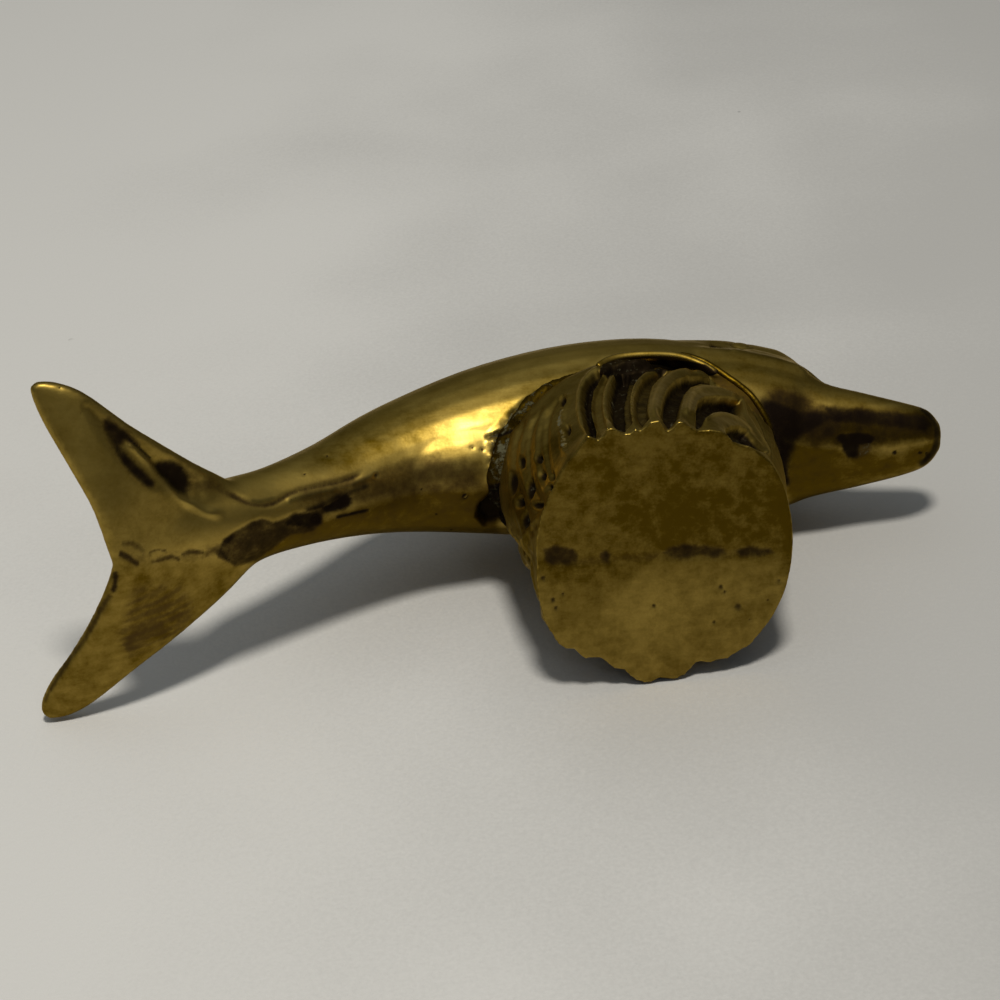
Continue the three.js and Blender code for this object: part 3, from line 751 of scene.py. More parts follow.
BODY_PATCHES = (
    # The valley behind the leading edge of the right lobe, and its stains
    (((90, 408), (112, 420), (138, 438), (163, 455), (186, 470), (200, 482), (200, 492), (182, 492),
      (158, 482), (137, 467), (118, 450), (102, 431)), 22, -0.9, {"dull": 0.4}),
    (((102, 418), (110, 416), (120, 423), (131, 433), (141, 444), (134, 447), (127, 443), (121, 450),
      (116, 452), (110, 444), (104, 431)), 13, 0, {"dark": 0.8, "stain": 0.9}),
    (((112, 440), (120, 443), (125, 451), (134, 461), (145, 471), (156, 482), (154, 489), (143, 485),
      (132, 475), (123, 465), (116, 455)), 9, -0.1, {"dark": 0.9, "stain": 0.9}),
    (((153, 464), (163, 461), (174, 459), (185, 465), (192, 474), (194, 486), (189, 498), (178, 495),
      (168, 486), (159, 475)), 14, -0.3, {"dark": 1.0}),
    (((188, 466), (204, 474), (222, 482), (226, 492), (206, 492), (190, 492)), 12, 0, {"stain": 0.7}),
    # The brown stain where the seam runs into the belly, with two blacker spots in it
    (((224, 545), (223, 540), (235, 531), (249, 523), (262, 518), (274, 522), (282, 519.5),
      (293, 513.5), (307, 511), (318, 510), (328, 505), (338, 498), (346, 492), (353, 496), (354, 504),
      (346, 510), (334, 510), (324, 515), (323, 524), (315, 531), (303, 535), (291, 535), (284, 541),
      (274, 549), (262, 558), (249, 564), (235, 567), (227, 562), (218, 558), (214, 550)), 5, -0.15,
     {"stain": 1.0, "dark": 0.62}),
    (((284, 522), (294, 514), (318, 511), (323, 516), (322, 525), (312, 529), (300, 528), (287, 527)),
     6, -0.08, {"dark": 0.95}),
    (((322, 508), (334, 501), (346, 492.5), (353, 498), (350, 507), (337, 512), (326, 513)), 5, -0.08,
     {"dark": 1.0}),
    (((222, 541), (232, 534), (238, 537), (230, 545), (224, 550), (230, 558), (236, 565), (226, 562),
      (218, 553)), 5, 0, {"dark": 0.8}),
    # Brush marks in the tarnish of the left lobe
    (((127, 604), (136, 590), (158, 582), (178, 586), (191, 598), (193, 613), (184, 630), (168, 641),
      (148, 648), (130, 656), (124, 646), (120, 636), (126, 622)), 17, 0,
     {"swirl": 1.1, "dull": 0.75, "stain": 0.35}),
    (((136, 628), (148, 620), (163, 620), (166, 628), (154, 637), (140, 648), (129, 655), (122, 645),
      (128, 635)), 8, 0, {"stain": 0.75}),
    (((176, 612), (190, 606), (192, 616), (182, 630), (174, 632)), 8, 0, {"stain": 0.65}),
    # Purple-brown tarnish under the head, and the black sunk blotch on the beak
    (((766, 390), (790, 388), (808, 393), (818, 404), (840, 410), (845, 425), (838, 444), (815, 446),
      (796, 442), (776, 436), (760, 415)), 26, 0, {"stain": 0.9, "dull": 1.0, "dark": 0.7}),
    # Painted shade in the throat where it meets the front of the wave, and in the gap between the wave's
    # front rim and the head
    (((756, 394), (782, 400), (800, 408), (828, 410), (836, 416), (830, 426), (812, 434), (797, 442),
      (790, 468), (780, 470), (766, 430)), 20, 0, {"dark": 1.0}),
    (((772, 426), (782, 434), (787, 452), (790, 486), (783, 486), (776, 462)), 8, 0,
     {"dark": 0.9, "stain": 1.0}),
    (((834, 438), (840, 433), (856, 431.5), (870, 433), (877, 438), (872, 444), (860, 446), (858, 458),
      (848, 459), (843, 452), (842, 445)), 6, -0.18, {"dark": 1.0}),
    (((853, 445), (870, 443), (873, 450), (866, 456), (857, 458)), 6, -0.05,
     {"stain": 0.9, "dark": 0.35, "verdigris": 0.35}),
    # Painted shade on the lower facet of the beak, under its lighter top, with a brown film
    (((818, 406), (860, 406), (900, 408), (926, 411), (940, 425), (936, 440), (880, 446), (838, 447),
      (812, 440)), 18, 0, {"dull": 1.0, "stain": 0.5, "dark": 0.62}),
    (((822, 405), (926, 412), (938, 425), (926, 434), (890, 430), (828, 424)), 14, 0, {"dark": 0.88}),
    (((778, 440), (830, 448), (890, 453), (936, 440), (936, 462), (915, 470), (860, 486), (790, 506)),
     14, 0, {"dull": 0.95, "stain": 0.3, "dark": 0.2}),
    (((716, 342), (770, 350), (812, 378), (850, 392), (900, 402), (860, 412), (800, 400), (760, 380),
      (720, 365)), 20, 0, {"dull": 0.6}),
    (((700, 352), (770, 362), (800, 380), (800, 400), (770, 440), (775, 400), (745, 385), (700, 372)),
     16, 0, {"dull": 0.7}),
    # The strip of the chest between the wave's lip and the front joint, painted darker and browner
    (((708, 372), (732, 376), (752, 390), (766, 412), (756, 416), (738, 396), (714, 384)), 5, 0,
     {"dull": 1.0, "stain": 0.6, "dark": 0.4}),
    # A painted highlight on the belly beside the crust, painted shade that dulls the body to its left
    # and above the crust so that the highlight stays short, and the browner band under the belly
    (((452, 428), (468, 420), (488, 423), (494, 436), (490, 454), (474, 455), (456, 444)), 16, 0,
     {"shine": 0.6}),
    (((300, 470), (340, 430), (400, 404), (436, 404), (438, 436), (400, 450), (350, 470)), 24, 0,
     {"dull": 0.55}),
    (((500, 400), (530, 378), (570, 366), (600, 356), (560, 396), (520, 416), (498, 424)), 16, 0,
     {"dull": 0.5}),
    (((296, 486), (330, 478), (370, 474), (400, 462), (440, 454), (478, 462), (480, 486), (430, 496),
      (380, 500), (340, 508), (300, 506)), 18, 0, {"stain": 0.85, "dark": 0.2}),
    # The underside of the belly, the stock and the left lobe, painted duller and browner
    (((250, 560), (290, 532), (330, 518), (380, 500), (430, 488), (500, 486), (500, 536), (400, 536),
      (330, 550), (280, 580)), 14, 0, {"dull": 1.0, "stain": 0.5}),
    (((108, 560), (240, 560), (250, 580), (180, 660), (60, 735), (30, 720), (60, 650)), 20, 0,
     {"dull": 0.55}),
    # The black hollow beside the wave and the recess under the wave's lip, both painted black as painted
    # shade, and the crust beside the wave
    (((480, 503), (490, 494), (505, 492), (514, 504), (510, 524), (486, 525), (478, 516)), 6, -1.3,
     {"dark": 1.0}),
    (LIP_RECESS, 5, -0.6, {"dark": 1.0}),
    (CRUST_OUTLINE, 8, 0.3, {"dark": 0.4, "verdigris": 0.45, "stain": 0.5}),
    (((360, 488), (380, 480), (404, 474), (424, 478), (424, 492), (404, 499), (372, 502)), 14, 0,
     {"stain": 0.45}),
    (((420, 508), (460, 500), (484, 502), (484, 528), (440, 530), (400, 526)), 14, 0, {"dull": 0.6}),
)
# Casting pits, in pixels, and their depth in mm
BODY_PITS = (
    (464, 494.5, 4.2, 0.275), (482, 450, 2.6, 0.175), (471.5, 448, 2.2, 0.15),
    (327, 455, 2.0, 0.15), (376.5, 475.5, 2.8, 0.25), (304, 474, 2.0, 0.15),
    (277, 457, 1.8, 0.1), (895, 453, 3.4, 0.175), (920, 453, 2.6, 0.125), (421, 489, 1.8, 0.1),
    (436, 514, 1.8, 0.1), (59, 388, 2.2, 0.1), (452, 530, 1.6, 0.1), (748, 346, 5.0, 0.25),
    (742, 348, 4.0, 0.2),
)
# Soft swells: middle, half width and half height in pixels, and height in mm
BODY_SWELLS = ((472, 474, 60, 44, 1.05), (330, 455, 60, 22, -0.2))
# A small bead raised in the largest pit, with a painted highlight for its glint
PIT_GLINT = (464.5, 494.5, 1.9)
GLINT_HEIGHT = 0.7
# The side of the head, X and Z in mm: the crests of the cheek and the brow, the mouth and the
# eye. The brow fades in and out along X.
CHEEK_CREST = ((12, 42.6), (18, 42.8), (23, 42.3), (28, 41.4), (32, 40.4))
BROW_CREST = ((9, 50.5), (15, 51), (20, 51), (25, 50), (29, 48), (32, 45.5))
MOUTH_LINE = ((29, 43.2), (32, 42.0), (35, 40.9), (38, 40.2), (42, 39.6), (47, 39.1), (54, 38.5))
BROW_FADE_IN = (9, 20)
BROW_FADE_OUT = (27, 32)
EYE_PLACE = (21.5, 48.2)
EYE_RADIUS = 1.5
CHEEK_HEIGHT = 0.45
BROW_HEIGHT = 1.25
MOUTH_DEPTH = 0.55
EYE_HEIGHT = 0.15
EYE_RING_DEPTH = 0.2
BODY_SEAM_DEPTH = 0.06
# The skin is smoothed where the lobes flow into the tail and in the notch between them: where
# that fades in or out, in mm back from the middle of the wave and aside, and how often
ROOTS_START = (53, 62)
ROOTS_END = (76, 84)
ROOTS_SIDE = (10, 19)
ROOTS_STEPS = 130
NOTCH_START = (78, 82)
NOTCH_SIDE = (3, 8)
NOTCH_STEPS = 50


def dolphin_skin():
    """The dolphin in one piece, with what the hands and years left on it, and with painted shade and
    painted highlights.
    """
    sizes = bpy.context.scene.figurine_sizes
    skin = joined(
        "dolphin_skin",
        body_loft(),
        fin_loft("right_lobe", RIGHT_LOBE_LEADING, RIGHT_LOBE_TRAILING, LOBE_THICKNESS, LOBE_FULLNESS),
        fin_loft("left_lobe", LEFT_LOBE_LEADING, LEFT_LOBE_TRAILING, LOBE_THICKNESS, LOBE_FULLNESS),
    )
    modify(skin, "REMESH", mode="VOXEL", voxel_size=sizes.dolphin_voxel)
    modify(skin, "SMOOTH", factor=0.5, iterations=8)
    points = points_of(skin)
    back = -points[:, 0]
    aside = np.abs(points[:, 1])
    roots = smooth_step(back, *ROOTS_START) * (1 - smooth_step(aside, *ROOTS_SIDE))
    relax(skin, roots * (1 - smooth_step(back, *ROOTS_END)), ROOTS_STEPS)
    notch = smooth_step(back, *NOTCH_START) * (1 - smooth_step(aside, *NOTCH_SIDE))
    relax(skin, notch, NOTCH_STEPS)
    carve_dolphin(skin)
    return skin


def marked(points, seen, lines, patches):
    """The heights and the layers that lines and patches in the picture give to a skin."""
    heights = np.zeros(len(points))
    layers = {layer: np.zeros(len(points)) for layer in LAYERS}
    for shape, table in ((stroke, lines), (patch, patches)):
        for line, reach, height, marks in table:
            mask = shape(points, line, reach) * seen
            heights += height * mask
            for layer, strength in marks.items():
                layers[layer] = np.maximum(layers[layer], strength * mask)
    return heights, layers


def head_relief(points, sideways):
    """The crests, the mouth and the eyes: their heights, and how dark they are."""
    profile = points[:, (0, 2)]
    cheek = stroke(profile, CHEEK_CREST, (3.2, 2.0))
    along = points[:, 0]
    brow_span = smooth_step(along, *BROW_FADE_IN) * (1 - smooth_step(along, *BROW_FADE_OUT))
    brow = stroke(profile, BROW_CREST, (6.0, 3.5)) * brow_span
    mouth = stroke(profile, MOUTH_LINE, (0.9, 0.55))
    from_eye = np.linalg.norm(profile - np.array(EYE_PLACE), axis=1)
    ball = np.clip(1 - (from_eye / EYE_RADIUS) ** 2, 0, 1) ** 0.5
    ring = 1 - smooth_step(np.abs(from_eye - EYE_RADIUS * 1.2), 0, 0.8)
    heights = CHEEK_HEIGHT * cheek + BROW_HEIGHT * brow - MOUTH_DEPTH * mouth
    heights += EYE_HEIGHT * ball - EYE_RING_DEPTH * ring
    return heights * sideways, np.maximum(0.85 * mouth, 0.6 * ring) * sideways


def carve_dolphin(skin):
    """Carves and paints the marks, the pits, the head and the seam."""
    points = points_of(skin)
    sideways = smooth_step(np.abs(normals_of(skin)[:, 1]), 0.35, 0.7)
    pixels = in_picture(points)
    seen = facing_camera(skin)
    heights, layers = marked(pixels, seen, BODY_LINES, BODY_PATCHES)
    for x, y, radius, depth in BODY_PITS:
        pit = dent(pixels, (x, y), radius) * seen
        heights -= depth * pit
        layers["dark"] = np.maximum(layers["dark"], 1.5 * pit)
    for x, y, half_width, half_height, height in BODY_SWELLS:
        heights += height * dent(pixels, (x, y), half_width, half_height) * seen
    # The bead in the largest pit gets a painted highlight and no dark.
    x, y, radius = PIT_GLINT
    glint = dent(pixels, (x, y), radius) * seen
    layers["shine"] = np.maximum(layers["shine"], glint)
    layers["dark"] *= 1 - glint
    on_head, head_dark = head_relief(points, sideways)
    layers["dark"] = np.maximum(layers["dark"], head_dark)
    seam = 1 - smooth_step(np.abs(points[:, 1]), 0.15, 0.9)
    lift(skin, heights + GLINT_HEIGHT * glint + on_head - BODY_SEAM_DEPTH * seam)
    crusty = np.maximum(layers["verdigris"], patch(pixels, CRUST_OUTLINE, 6) * seen)
    roughen(skin, crusty, 1.2, 0.8)
    relax(skin, np.ones(len(points)), 1)
    layers["dull"] = np.maximum(layers["dull"], 0.12)
    layers["stain"] = np.maximum(layers["stain"], 0.22 * seam)
    for layer, weights in layers.items():
        paint(skin, layer, weights)


def wave_place(bearing, share):
    """Points on the outside of the wave, in mm: share 0 is its foot, 1 its lip, 2 its top."""
    flank = np.sin(bearing) ** 2
    lip_height = LIP_HEIGHT_AT_FRONT + (LIP_HEIGHT_AT_SIDES - LIP_HEIGHT_AT_FRONT) * flank
    lip_length = np.where(np.cos(bearing) > 0, LIP_FORWARD_REACH, LIP_REAR_REACH)
    spread = smooth_step(np.minimum(share, 1), -0.3, 1.05)
    over = np.maximum(share - 1, 0)
    inward = SHOULDER_DRAW_IN * over**1.5
    length = FOOT_HALF_LENGTH + (lip_length - FOOT_HALF_LENGTH) * spread - inward
    width = FOOT_HALF_WIDTH + (LIP_HALF_WIDTH - FOOT_HALF_WIDTH) * spread - inward
    height = np.minimum(share, 1) * lip_height + SHOULDER_RISE * np.sin(over * math.pi / 2)
    return np.column_stack((length * np.cos(bearing), width * np.sin(bearing), height))


def wave_block():
    """The wave before its flanks are carved."""
    shares = np.concatenate((
        np.linspace(0, 1, WAVE_ROWS, endpoint=False), np.linspace(1, 2, SHOULDER_ROWS)
    ))
    rings = [
        (Vector((0, 0, share / MM)), Vector((1, 0, 0)), Vector((0, 1, 0)), 1, 1)
        for share in shares
    ]
    block = loft("wave_skin", rings, WAVE_RING_POINTS)
    drawn = points_of(block)
    bearing = np.arctan2(drawn[:, 1], drawn[:, 0])
    reshape(block, wave_place(bearing, drawn[:, 2] * MM))
    return block


def on_level(pixels, height):
    """Where the lines of sight through pixels reach a height. All in mm."""
    offsets = (np.array(pixels, float) - PICTURE_SIZE / 2) / FOCAL_PIXELS
    ways = offsets[:, :1] * np.array(PICTURE_RIGHT) + offsets[:, 1:] * np.array(PICTURE_DOWN)
    ways += np.array(PICTURE_AHEAD)
    start = np.array(CAMERA_PLACE) / MM
    return start + ways * ((height - start[2]) / ways[:, 2])[:, None]


def oval_place(points):
    """The bearing of points round the foot, and their distance out as a share of its oval."""
    x, y = points[:, 0] / FOOT_HALF_LENGTH, points[:, 1] / FOOT_HALF_WIDTH
    return np.arctan2(y, x), np.hypot(x, y)


def scallop_foot(skin):
    """Draws the foot out and in to the scallops of its outline."""
    rim_bearing, rim_share = oval_place(on_level(FOOT_OUTLINE, 0))
    points = points_of(skin)
    bearing, share = oval_place(points)
    wanted = np.interp(bearing, *zip(*sorted(zip(rim_bearing, rim_share))), period=2 * math.pi)
    near_foot = 1 - smooth_step(points[:, 2], *FOOT_FADE)
    points[:, :2] *= (1 + (wanted - 1) * near_foot * smooth_step(share, 0.4, 0.9))[:, None]
    reshape(skin, points)


def flank_relief(pixels):
    """How the ridges stand and the pockets sink on a flank, and how dark and bright they are painted:
    patina and painted shade, and painted highlights.
    """
    sizes = bpy.context.scene.figurine_sizes
    sunk = np.zeros(len(pixels))
    dark = np.zeros(len(pixels))
    shine = np.zeros(len(pixels))
    for depth, darkness, outline in POCKETS:
        hollow = patch(pixels, outline, 2.6)
        sunk = np.maximum(sunk, depth * hollow)
        dark = np.maximum(dark, darkness * smooth_step(hollow, 0.1, 0.7))
    heights = -sunk * sizes.pocket_share
    open_skin = 1 - np.clip(sunk, 0, 1)
    for height, half_width, darkness, brightness, line in FLANK_LINES:
        mask = stroke(pixels, line, half_width) * open_skin
        heights += height * mask
        dark = np.maximum(dark, darkness * mask)
        shine = np.maximum(shine, 0.6 * brightness * mask)
    for height, half_width, line in REAR_FOLDS:
        heights += height * stroke(pixels, line, half_width)
    return heights, dark, shine


# Pits in the flank of the wave, in pixels: middle, half width and half height
WAVE_PITS = (
    (512.5, 485, 4.2, 17), (522, 463, 4.0, 9), (539, 459, 4.2, 6), (530, 491, 4.0, 15),
    (519.5, 502, 4.2, 8), (538, 505, 6.0, 5), (525, 521, 3.8, 12), (542, 544, 3.6, 5),
    (537.5, 562, 3.4, 6), (545, 577, 4.5, 4), (553, 580, 4.5, 4.5), (563, 401, 4.5, 7),
    (550, 487, 3.5, 4), (543, 476, 4.0, 6), (552, 476, 2.8, 5), (568, 430, 3.2, 7), (498, 447, 3, 6),
)
WAVE_PIT_DEPTH = 0.9
# The ground bottom, in pixels: the stains along its seam, its pits and its polished part. Its
# marks are sunk by these depths, in mm.
BASE_SEAM_STAINS = (
    ((542, 548), (555, 545), (574, 548), (580, 556), (577, 563), (564, 566), (550, 566), (544, 560)),
    ((599, 553), (606, 549), (612, 555), (609, 564), (601, 563)),
    ((661, 553), (670, 547), (684, 544), (704, 545), (724, 548), (728, 554), (716, 559), (702, 556),
     (688, 560), (672, 559)),
    ((734, 550), (748, 546), (770, 548), (775, 553), (757, 557), (740, 557)),
)
BASE_SEAM_LINE = ((541, 564), (600, 560), (660, 556), (720, 553), (787, 549))
BASE_PITS = (
    (721, 587, 4.0), (725, 592, 3.0), (738, 607, 6.0), (714, 622, 3.0), (553, 600, 4.0),
    (556, 608, 3.5), (563, 594, 2.5), (779, 581, 3.5), (768, 600, 2.0), (750, 620, 2.0),
    (654, 606, 3.0), (543, 578, 4.0),
)
BASE_POLISH = (
    (618, 592), (640, 582), (668, 588), (690, 596), (688, 622), (672, 640), (640, 636), (622, 620),
)
BASE_STAIN_DEPTH = 0.12
BASE_SEAM_DEPTH = 0.06
BASE_PIT_DEPTH = 0.2


def base_marks(pixels, bottom):
    """The seam's stains, its line and the pits on the ground bottom, each as a mask."""
    stains = np.zeros(len(pixels))
    for outline in BASE_SEAM_STAINS:
        stains = np.maximum(stains, patch(pixels, outline, 8) * bottom)
    spots = np.zeros(len(pixels))
    for x, y, radius in BASE_PITS:
        spots = np.maximum(spots, dent(pixels, (x, y), radius) * bottom)
    return stains, stroke(pixels, BASE_SEAM_LINE, 9) * bottom, spots


def wave_skin():
    """The wave in one piece: ridges, pockets, rims, casting pits and the ground bottom."""
    sizes = bpy.context.scene.figurine_sizes
    skin = wave_block()
    modify(skin, "REMESH", mode="VOXEL", voxel_size=sizes.wave_voxel)
    modify(skin, "SMOOTH", factor=0.5, iterations=4)
    scallop_foot(skin)
    points = points_of(skin)
    upright = 1 - smooth_step(-normals_of(skin)[:, 2], 0.5, 0.85)
    bottom = 1 - upright
    pixels = in_picture(points)
    folded = seen_from_right(points)
    heights, dark, shine = flank_relief(folded)
    above_foot = upright * smooth_step(points[:, 2], 0.1, 1.6)
    heights *= above_foot
    rough = dark * above_foot
    for x, y, half_width, half_height in WAVE_PITS:
        pit = dent(folded, (x, y), half_width, half_height) * upright
        heights -= WAVE_PIT_DEPTH * pit
        dark = np.maximum(dark, 1.4 * pit)
    strip = stroke(folded, ROUGH_STRIP, 6) * upright
    stains, seam_line, spots = base_marks(pixels, bottom)
    heights -= BASE_STAIN_DEPTH * stains + BASE_PIT_DEPTH * spots + BASE_SEAM_DEPTH * seam_line
    lift(skin, heights)
    roughen(skin, np.maximum(0.45 * rough, strip), 1.0, 0.9)
    roughen(skin, (0.3 + 0.2 * smooth_step(-points[:, 0], 4, 12)) * upright, 3.0, 0.5)
    relax(skin, upright, 1)
    points = points_of(skin)
    points[:, 2] = np.maximum(points[:, 2], 0)
    reshape(skin, points)
    paint(skin, "dark", np.maximum.reduce((dark * upright, 0.75 * spots, 0.62 * stains)))
    stain = np.maximum.reduce((0.8 * stains, 0.45 * seam_line, 0.8 * spots, 0.4 * strip))
    paint(skin, "stain", stain)
    # A painted highlight along the rim of the ground bottom
    painted_rim_highlight = np.clip(4 * upright * bottom, 0, 1) * (1 - smooth_step(points[:, 2], 0.2, 0.8))
    paint(skin, "shine", np.maximum(shine * upright, 0.9 * painted_rim_highlight))
    paint(skin, "verdigris", np.maximum(0.25 * dark * upright, 0.6 * strip))
    left_half = smooth_step(points[:, 1], -1.0, 9.0)
    low_rear = smooth_step(-points[:, 0], 8, 18) * (1 - smooth_step(points[:, 2], 10, 24))
    film = bottom * (0.74 - 0.36 * left_half - 0.15 * patch(pixels, BASE_POLISH, 40))
    paint(skin, "dull", film + upright * (0.35 + 0.35 * low_rear))
    return skin


def add_node(tree, kind, values=(), **settings):
    """Adds a node. Values are its inputs by name, and may be sockets to link."""
    node = tree.nodes.new(kind)
    for setting, value in settings.items():
        setattr(node, setting, value)
    for name, value in dict(values).items():
        if isinstance(value, bpy.types.NodeSocket):
            tree.links.new(value, node.inputs[name])
        else:
            node.inputs[name].default_value = value
    return node


def noise(tree, place, scale, detail=3.0, roughness=0.55):
    return add_node(tree, "ShaderNodeTexNoise", {
        "Vector": place, "Scale": scale, "Detail": detail, "Roughness": roughness,
    }).outputs["Fac"]


def calc(tree, operation, first, second=0.0, clamp=False):
    node = add_node(tree, "ShaderNodeMath", {0: first, 1: second}, operation=operation)
    node.use_clamp = clamp
    return node.outputs[0]


def times(tree, first, second):
    return calc(tree, "MULTIPLY", first, second)


def total(tree, first, *others):
    for other in others:
        first = calc(tree, "ADD", first, other)
    return first


def swing(tree, pattern, reach):
    """Turns a noise pattern into one that swings up and down round 0."""
    return times(tree, calc(tree, "SUBTRACT", pattern, 0.5), reach)


def remap(tree, value, low, high, to_low=0.0, to_high=1.0):
    return add_node(tree, "ShaderNodeMapRange", {
        "Value": value, "From Min": low, "From Max": high, "To Min": to_low, "To Max": to_high,
    }, interpolation_type="SMOOTHSTEP").outputs["Result"]


def blend_colour(tree, share, first, second):
    """Mixes two colours. The sockets' numbers are those of the Mix node's colour mode."""
    return add_node(
        tree, "ShaderNodeMix", {0: share, 6: first, 7: second}, data_type="RGBA"
    ).outputs[2]


def specks(tree, place, spacing, rims, clusters, chosen):
    """Round specks of a spacing, kept only in clusters of another."""
    cells = add_node(tree, "ShaderNodeTexVoronoi", {"Vector": place, "Scale": spacing})
    kept = remap(tree, noise(tree, place, clusters, 1), *chosen)
    return times(tree, remap(tree, cells.outputs["Distance"], *rims), kept)


def socket(group, name, kind, way="INPUT", default=None):
    made = group.interface.new_socket(name, in_out=way, socket_type=kind)
    if default is not None:
        made.default_value = default


def opaque(colour):
    return (*colour, 1.0)


def aged_brass_group():
    """Turns the painted masks into the colour, gloss and relief of aged brass, with painted shade and
    painted highlights among them.
    """
    known = bpy.data.node_groups.get("aged_brass")
    if known:
        return known
    colours = bpy.context.scene.brass_colours
    group = bpy.data.node_groups.new("aged_brass", "ShaderNodeTree")
    for name in ("Place", "Grain Place"):
        socket(group, name, "NodeSocketVector")
    for layer in LAYERS:
        socket(group, layer.title(), "NodeSocketFloat", default=0.0)
    socket(group, "Satin", "NodeSocketColor", default=opaque(colours.satin))
    socket(group, "Olive", "NodeSocketColor", default=opaque(colours.olive))
    socket(group, "Roughness", "NodeSocketFloat", default=0.33)
    socket(group, "Colour", "NodeSocketColor", "OUTPUT")
    socket(group, "Roughness", "NodeSocketFloat", "OUTPUT")
    socket(group, "Metallic", "NodeSocketFloat", "OUTPUT")
    socket(group, "Height", "NodeSocketFloat", "OUTPUT")
    given = group.nodes.new("NodeGroupInput").outputs
    place = given["Place"]

    cloudy = noise(group, place, 70, 3)
    mottled = noise(group, place, 420, 4, 0.65)
    fine = noise(group, place, 2400, 2)
    brushed = noise(group, given["Grain Place"], 900, 3, 0.6)
    clouds = total(group, times(group, cloudy, 0.75), times(group, mottled, 0.35))
    worn = remap(group, clouds, 0.42, 0.72)
    film = total(
        group, times(group, worn, 0.35), given["Dull"], swing(group, brushed, 0.3),
        swing(group, mottled, 0.5), swing(group, fine, 0.25),
    )
    # The painted highlight clears the film back to satin brass here.
    film = calc(group, "SUBTRACT", film, given["Shine"], clamp=True)
    colour = blend_colour(group, film, given["Satin"], given["Olive"])

    def ragged(mask, pattern, reach, low, high):
        wobble = times(group, swing(group, pattern, reach), remap(group, mask, 0.0, 0.25))
        return remap(group, total(group, mask, wobble), low, high)

    stained = ragged(given["Stain"], mottled, 1.2, 0.1, 1.1)
    darkened = ragged(given["Dark"], mottled, 0.6, 0.15, 1.0)
    crusted = ragged(given["Verdigris"], noise(group, place, 900, 4, 0.7), 2.4, 0.45, 0.8)
    arcs = add_node(group, "ShaderNodeTexWave", {
        "Vector": given["Grain Place"], "Scale": 260.0, "Distortion": 5.0, "Detail": 3.0,
        "Detail Scale": 1.2,
    }, wave_type="RINGS", rings_direction="SPHERICAL").outputs["Fac"]
    swirled = times(group, times(group, arcs, given["Swirl"]), mottled)
    speckled = specks(group, place, 190, (0.12, 0.04), 260, (0.62, 0.70))
    # The dark mask paints patina and painted shade, in one colour.
    for mask, strength, settled in (
        (stained, 0.85, colours.tarnish), (swirled, 1.2, colours.tarnish),
        (darkened, 0.97, colours.patina_and_shade), (speckled, 0.7, colours.tarnish),
        (crusted, 1.0, colours.verdigris),
    ):
        colour = blend_colour(group, times(group, mask, strength), colour, opaque(settled))

    gloss = total(
        group, given["Roughness"], swing(group, mottled, 0.18), times(group, darkened, 0.22),
        times(group, stained, 0.08), times(group, crusted, 0.35),
    )
    gloss = calc(group, "SUBTRACT", gloss, times(group, given["Shine"], 0.14), clamp=True)
    bare = calc(group, "SUBTRACT", 1.0, times(group, crusted, 0.9), clamp=True)
    relief = total(
        group, times(group, brushed, 0.35), times(group, fine, 0.15), times(group, mottled, 0.3),
        times(group, speckled, -0.8), times(group, crusted, 1.2),
    )
    add_node(group, "NodeGroupOutput", {
        "Colour": colour, "Roughness": gloss, "Metallic": bare, "Height": relief,
    })
    return group


def plain_material(name):
    """A new material, its nodes and its shader."""
    material = bpy.data.materials.new(name)
    material.use_nodes = True
    return material, material.node_tree, material.node_tree.nodes["Principled BSDF"]


def brass(name, satin, olive, roughness, brush_stretch, bump):
    """A brass finish: how clean and how glossy it is, and which way it was brushed."""
    _material, tree, shader = plain_material(name)
    place = add_node(tree, "ShaderNodeTexCoord").outputs["Object"]
    along = add_node(tree, "ShaderNodeMapping", {"Vector": place, "Scale": brush_stretch})
    aged = add_node(tree, "ShaderNodeGroup", node_tree=aged_brass_group())
    for layer in LAYERS:
        mask = add_node(tree, "ShaderNodeAttribute", attribute_name=layer)
        tree.links.new(mask.outputs["Fac"], aged.inputs[layer.title()])
    tree.links.new(place, aged.inputs["Place"])
    tree.links.new(along.outputs["Vector"], aged.inputs["Grain Place"])
    aged.inputs["Satin"].default_value = opaque(satin)
    aged.inputs["Olive"].default_value = opaque(olive)
    aged.inputs["Roughness"].default_value = roughness
    relief = add_node(tree, "ShaderNodeBump", {
        "Height": aged.outputs["Height"], "Strength": bump, "Distance": 0.1 * MM,
    })
    tree.links.new(aged.outputs["Colour"], shader.inputs["Base Color"])
    tree.links.new(aged.outputs["Roughness"], shader.inputs["Roughness"])
    tree.links.new(aged.outputs["Metallic"], shader.inputs["Metallic"])
    tree.links.new(relief.outputs["Normal"], shader.inputs["Normal"])
    shader.inputs["Specular Tint"].default_value = EDGE_TINT


def times_colour(share, colour):
    return tuple(share * channel for channel in colour)


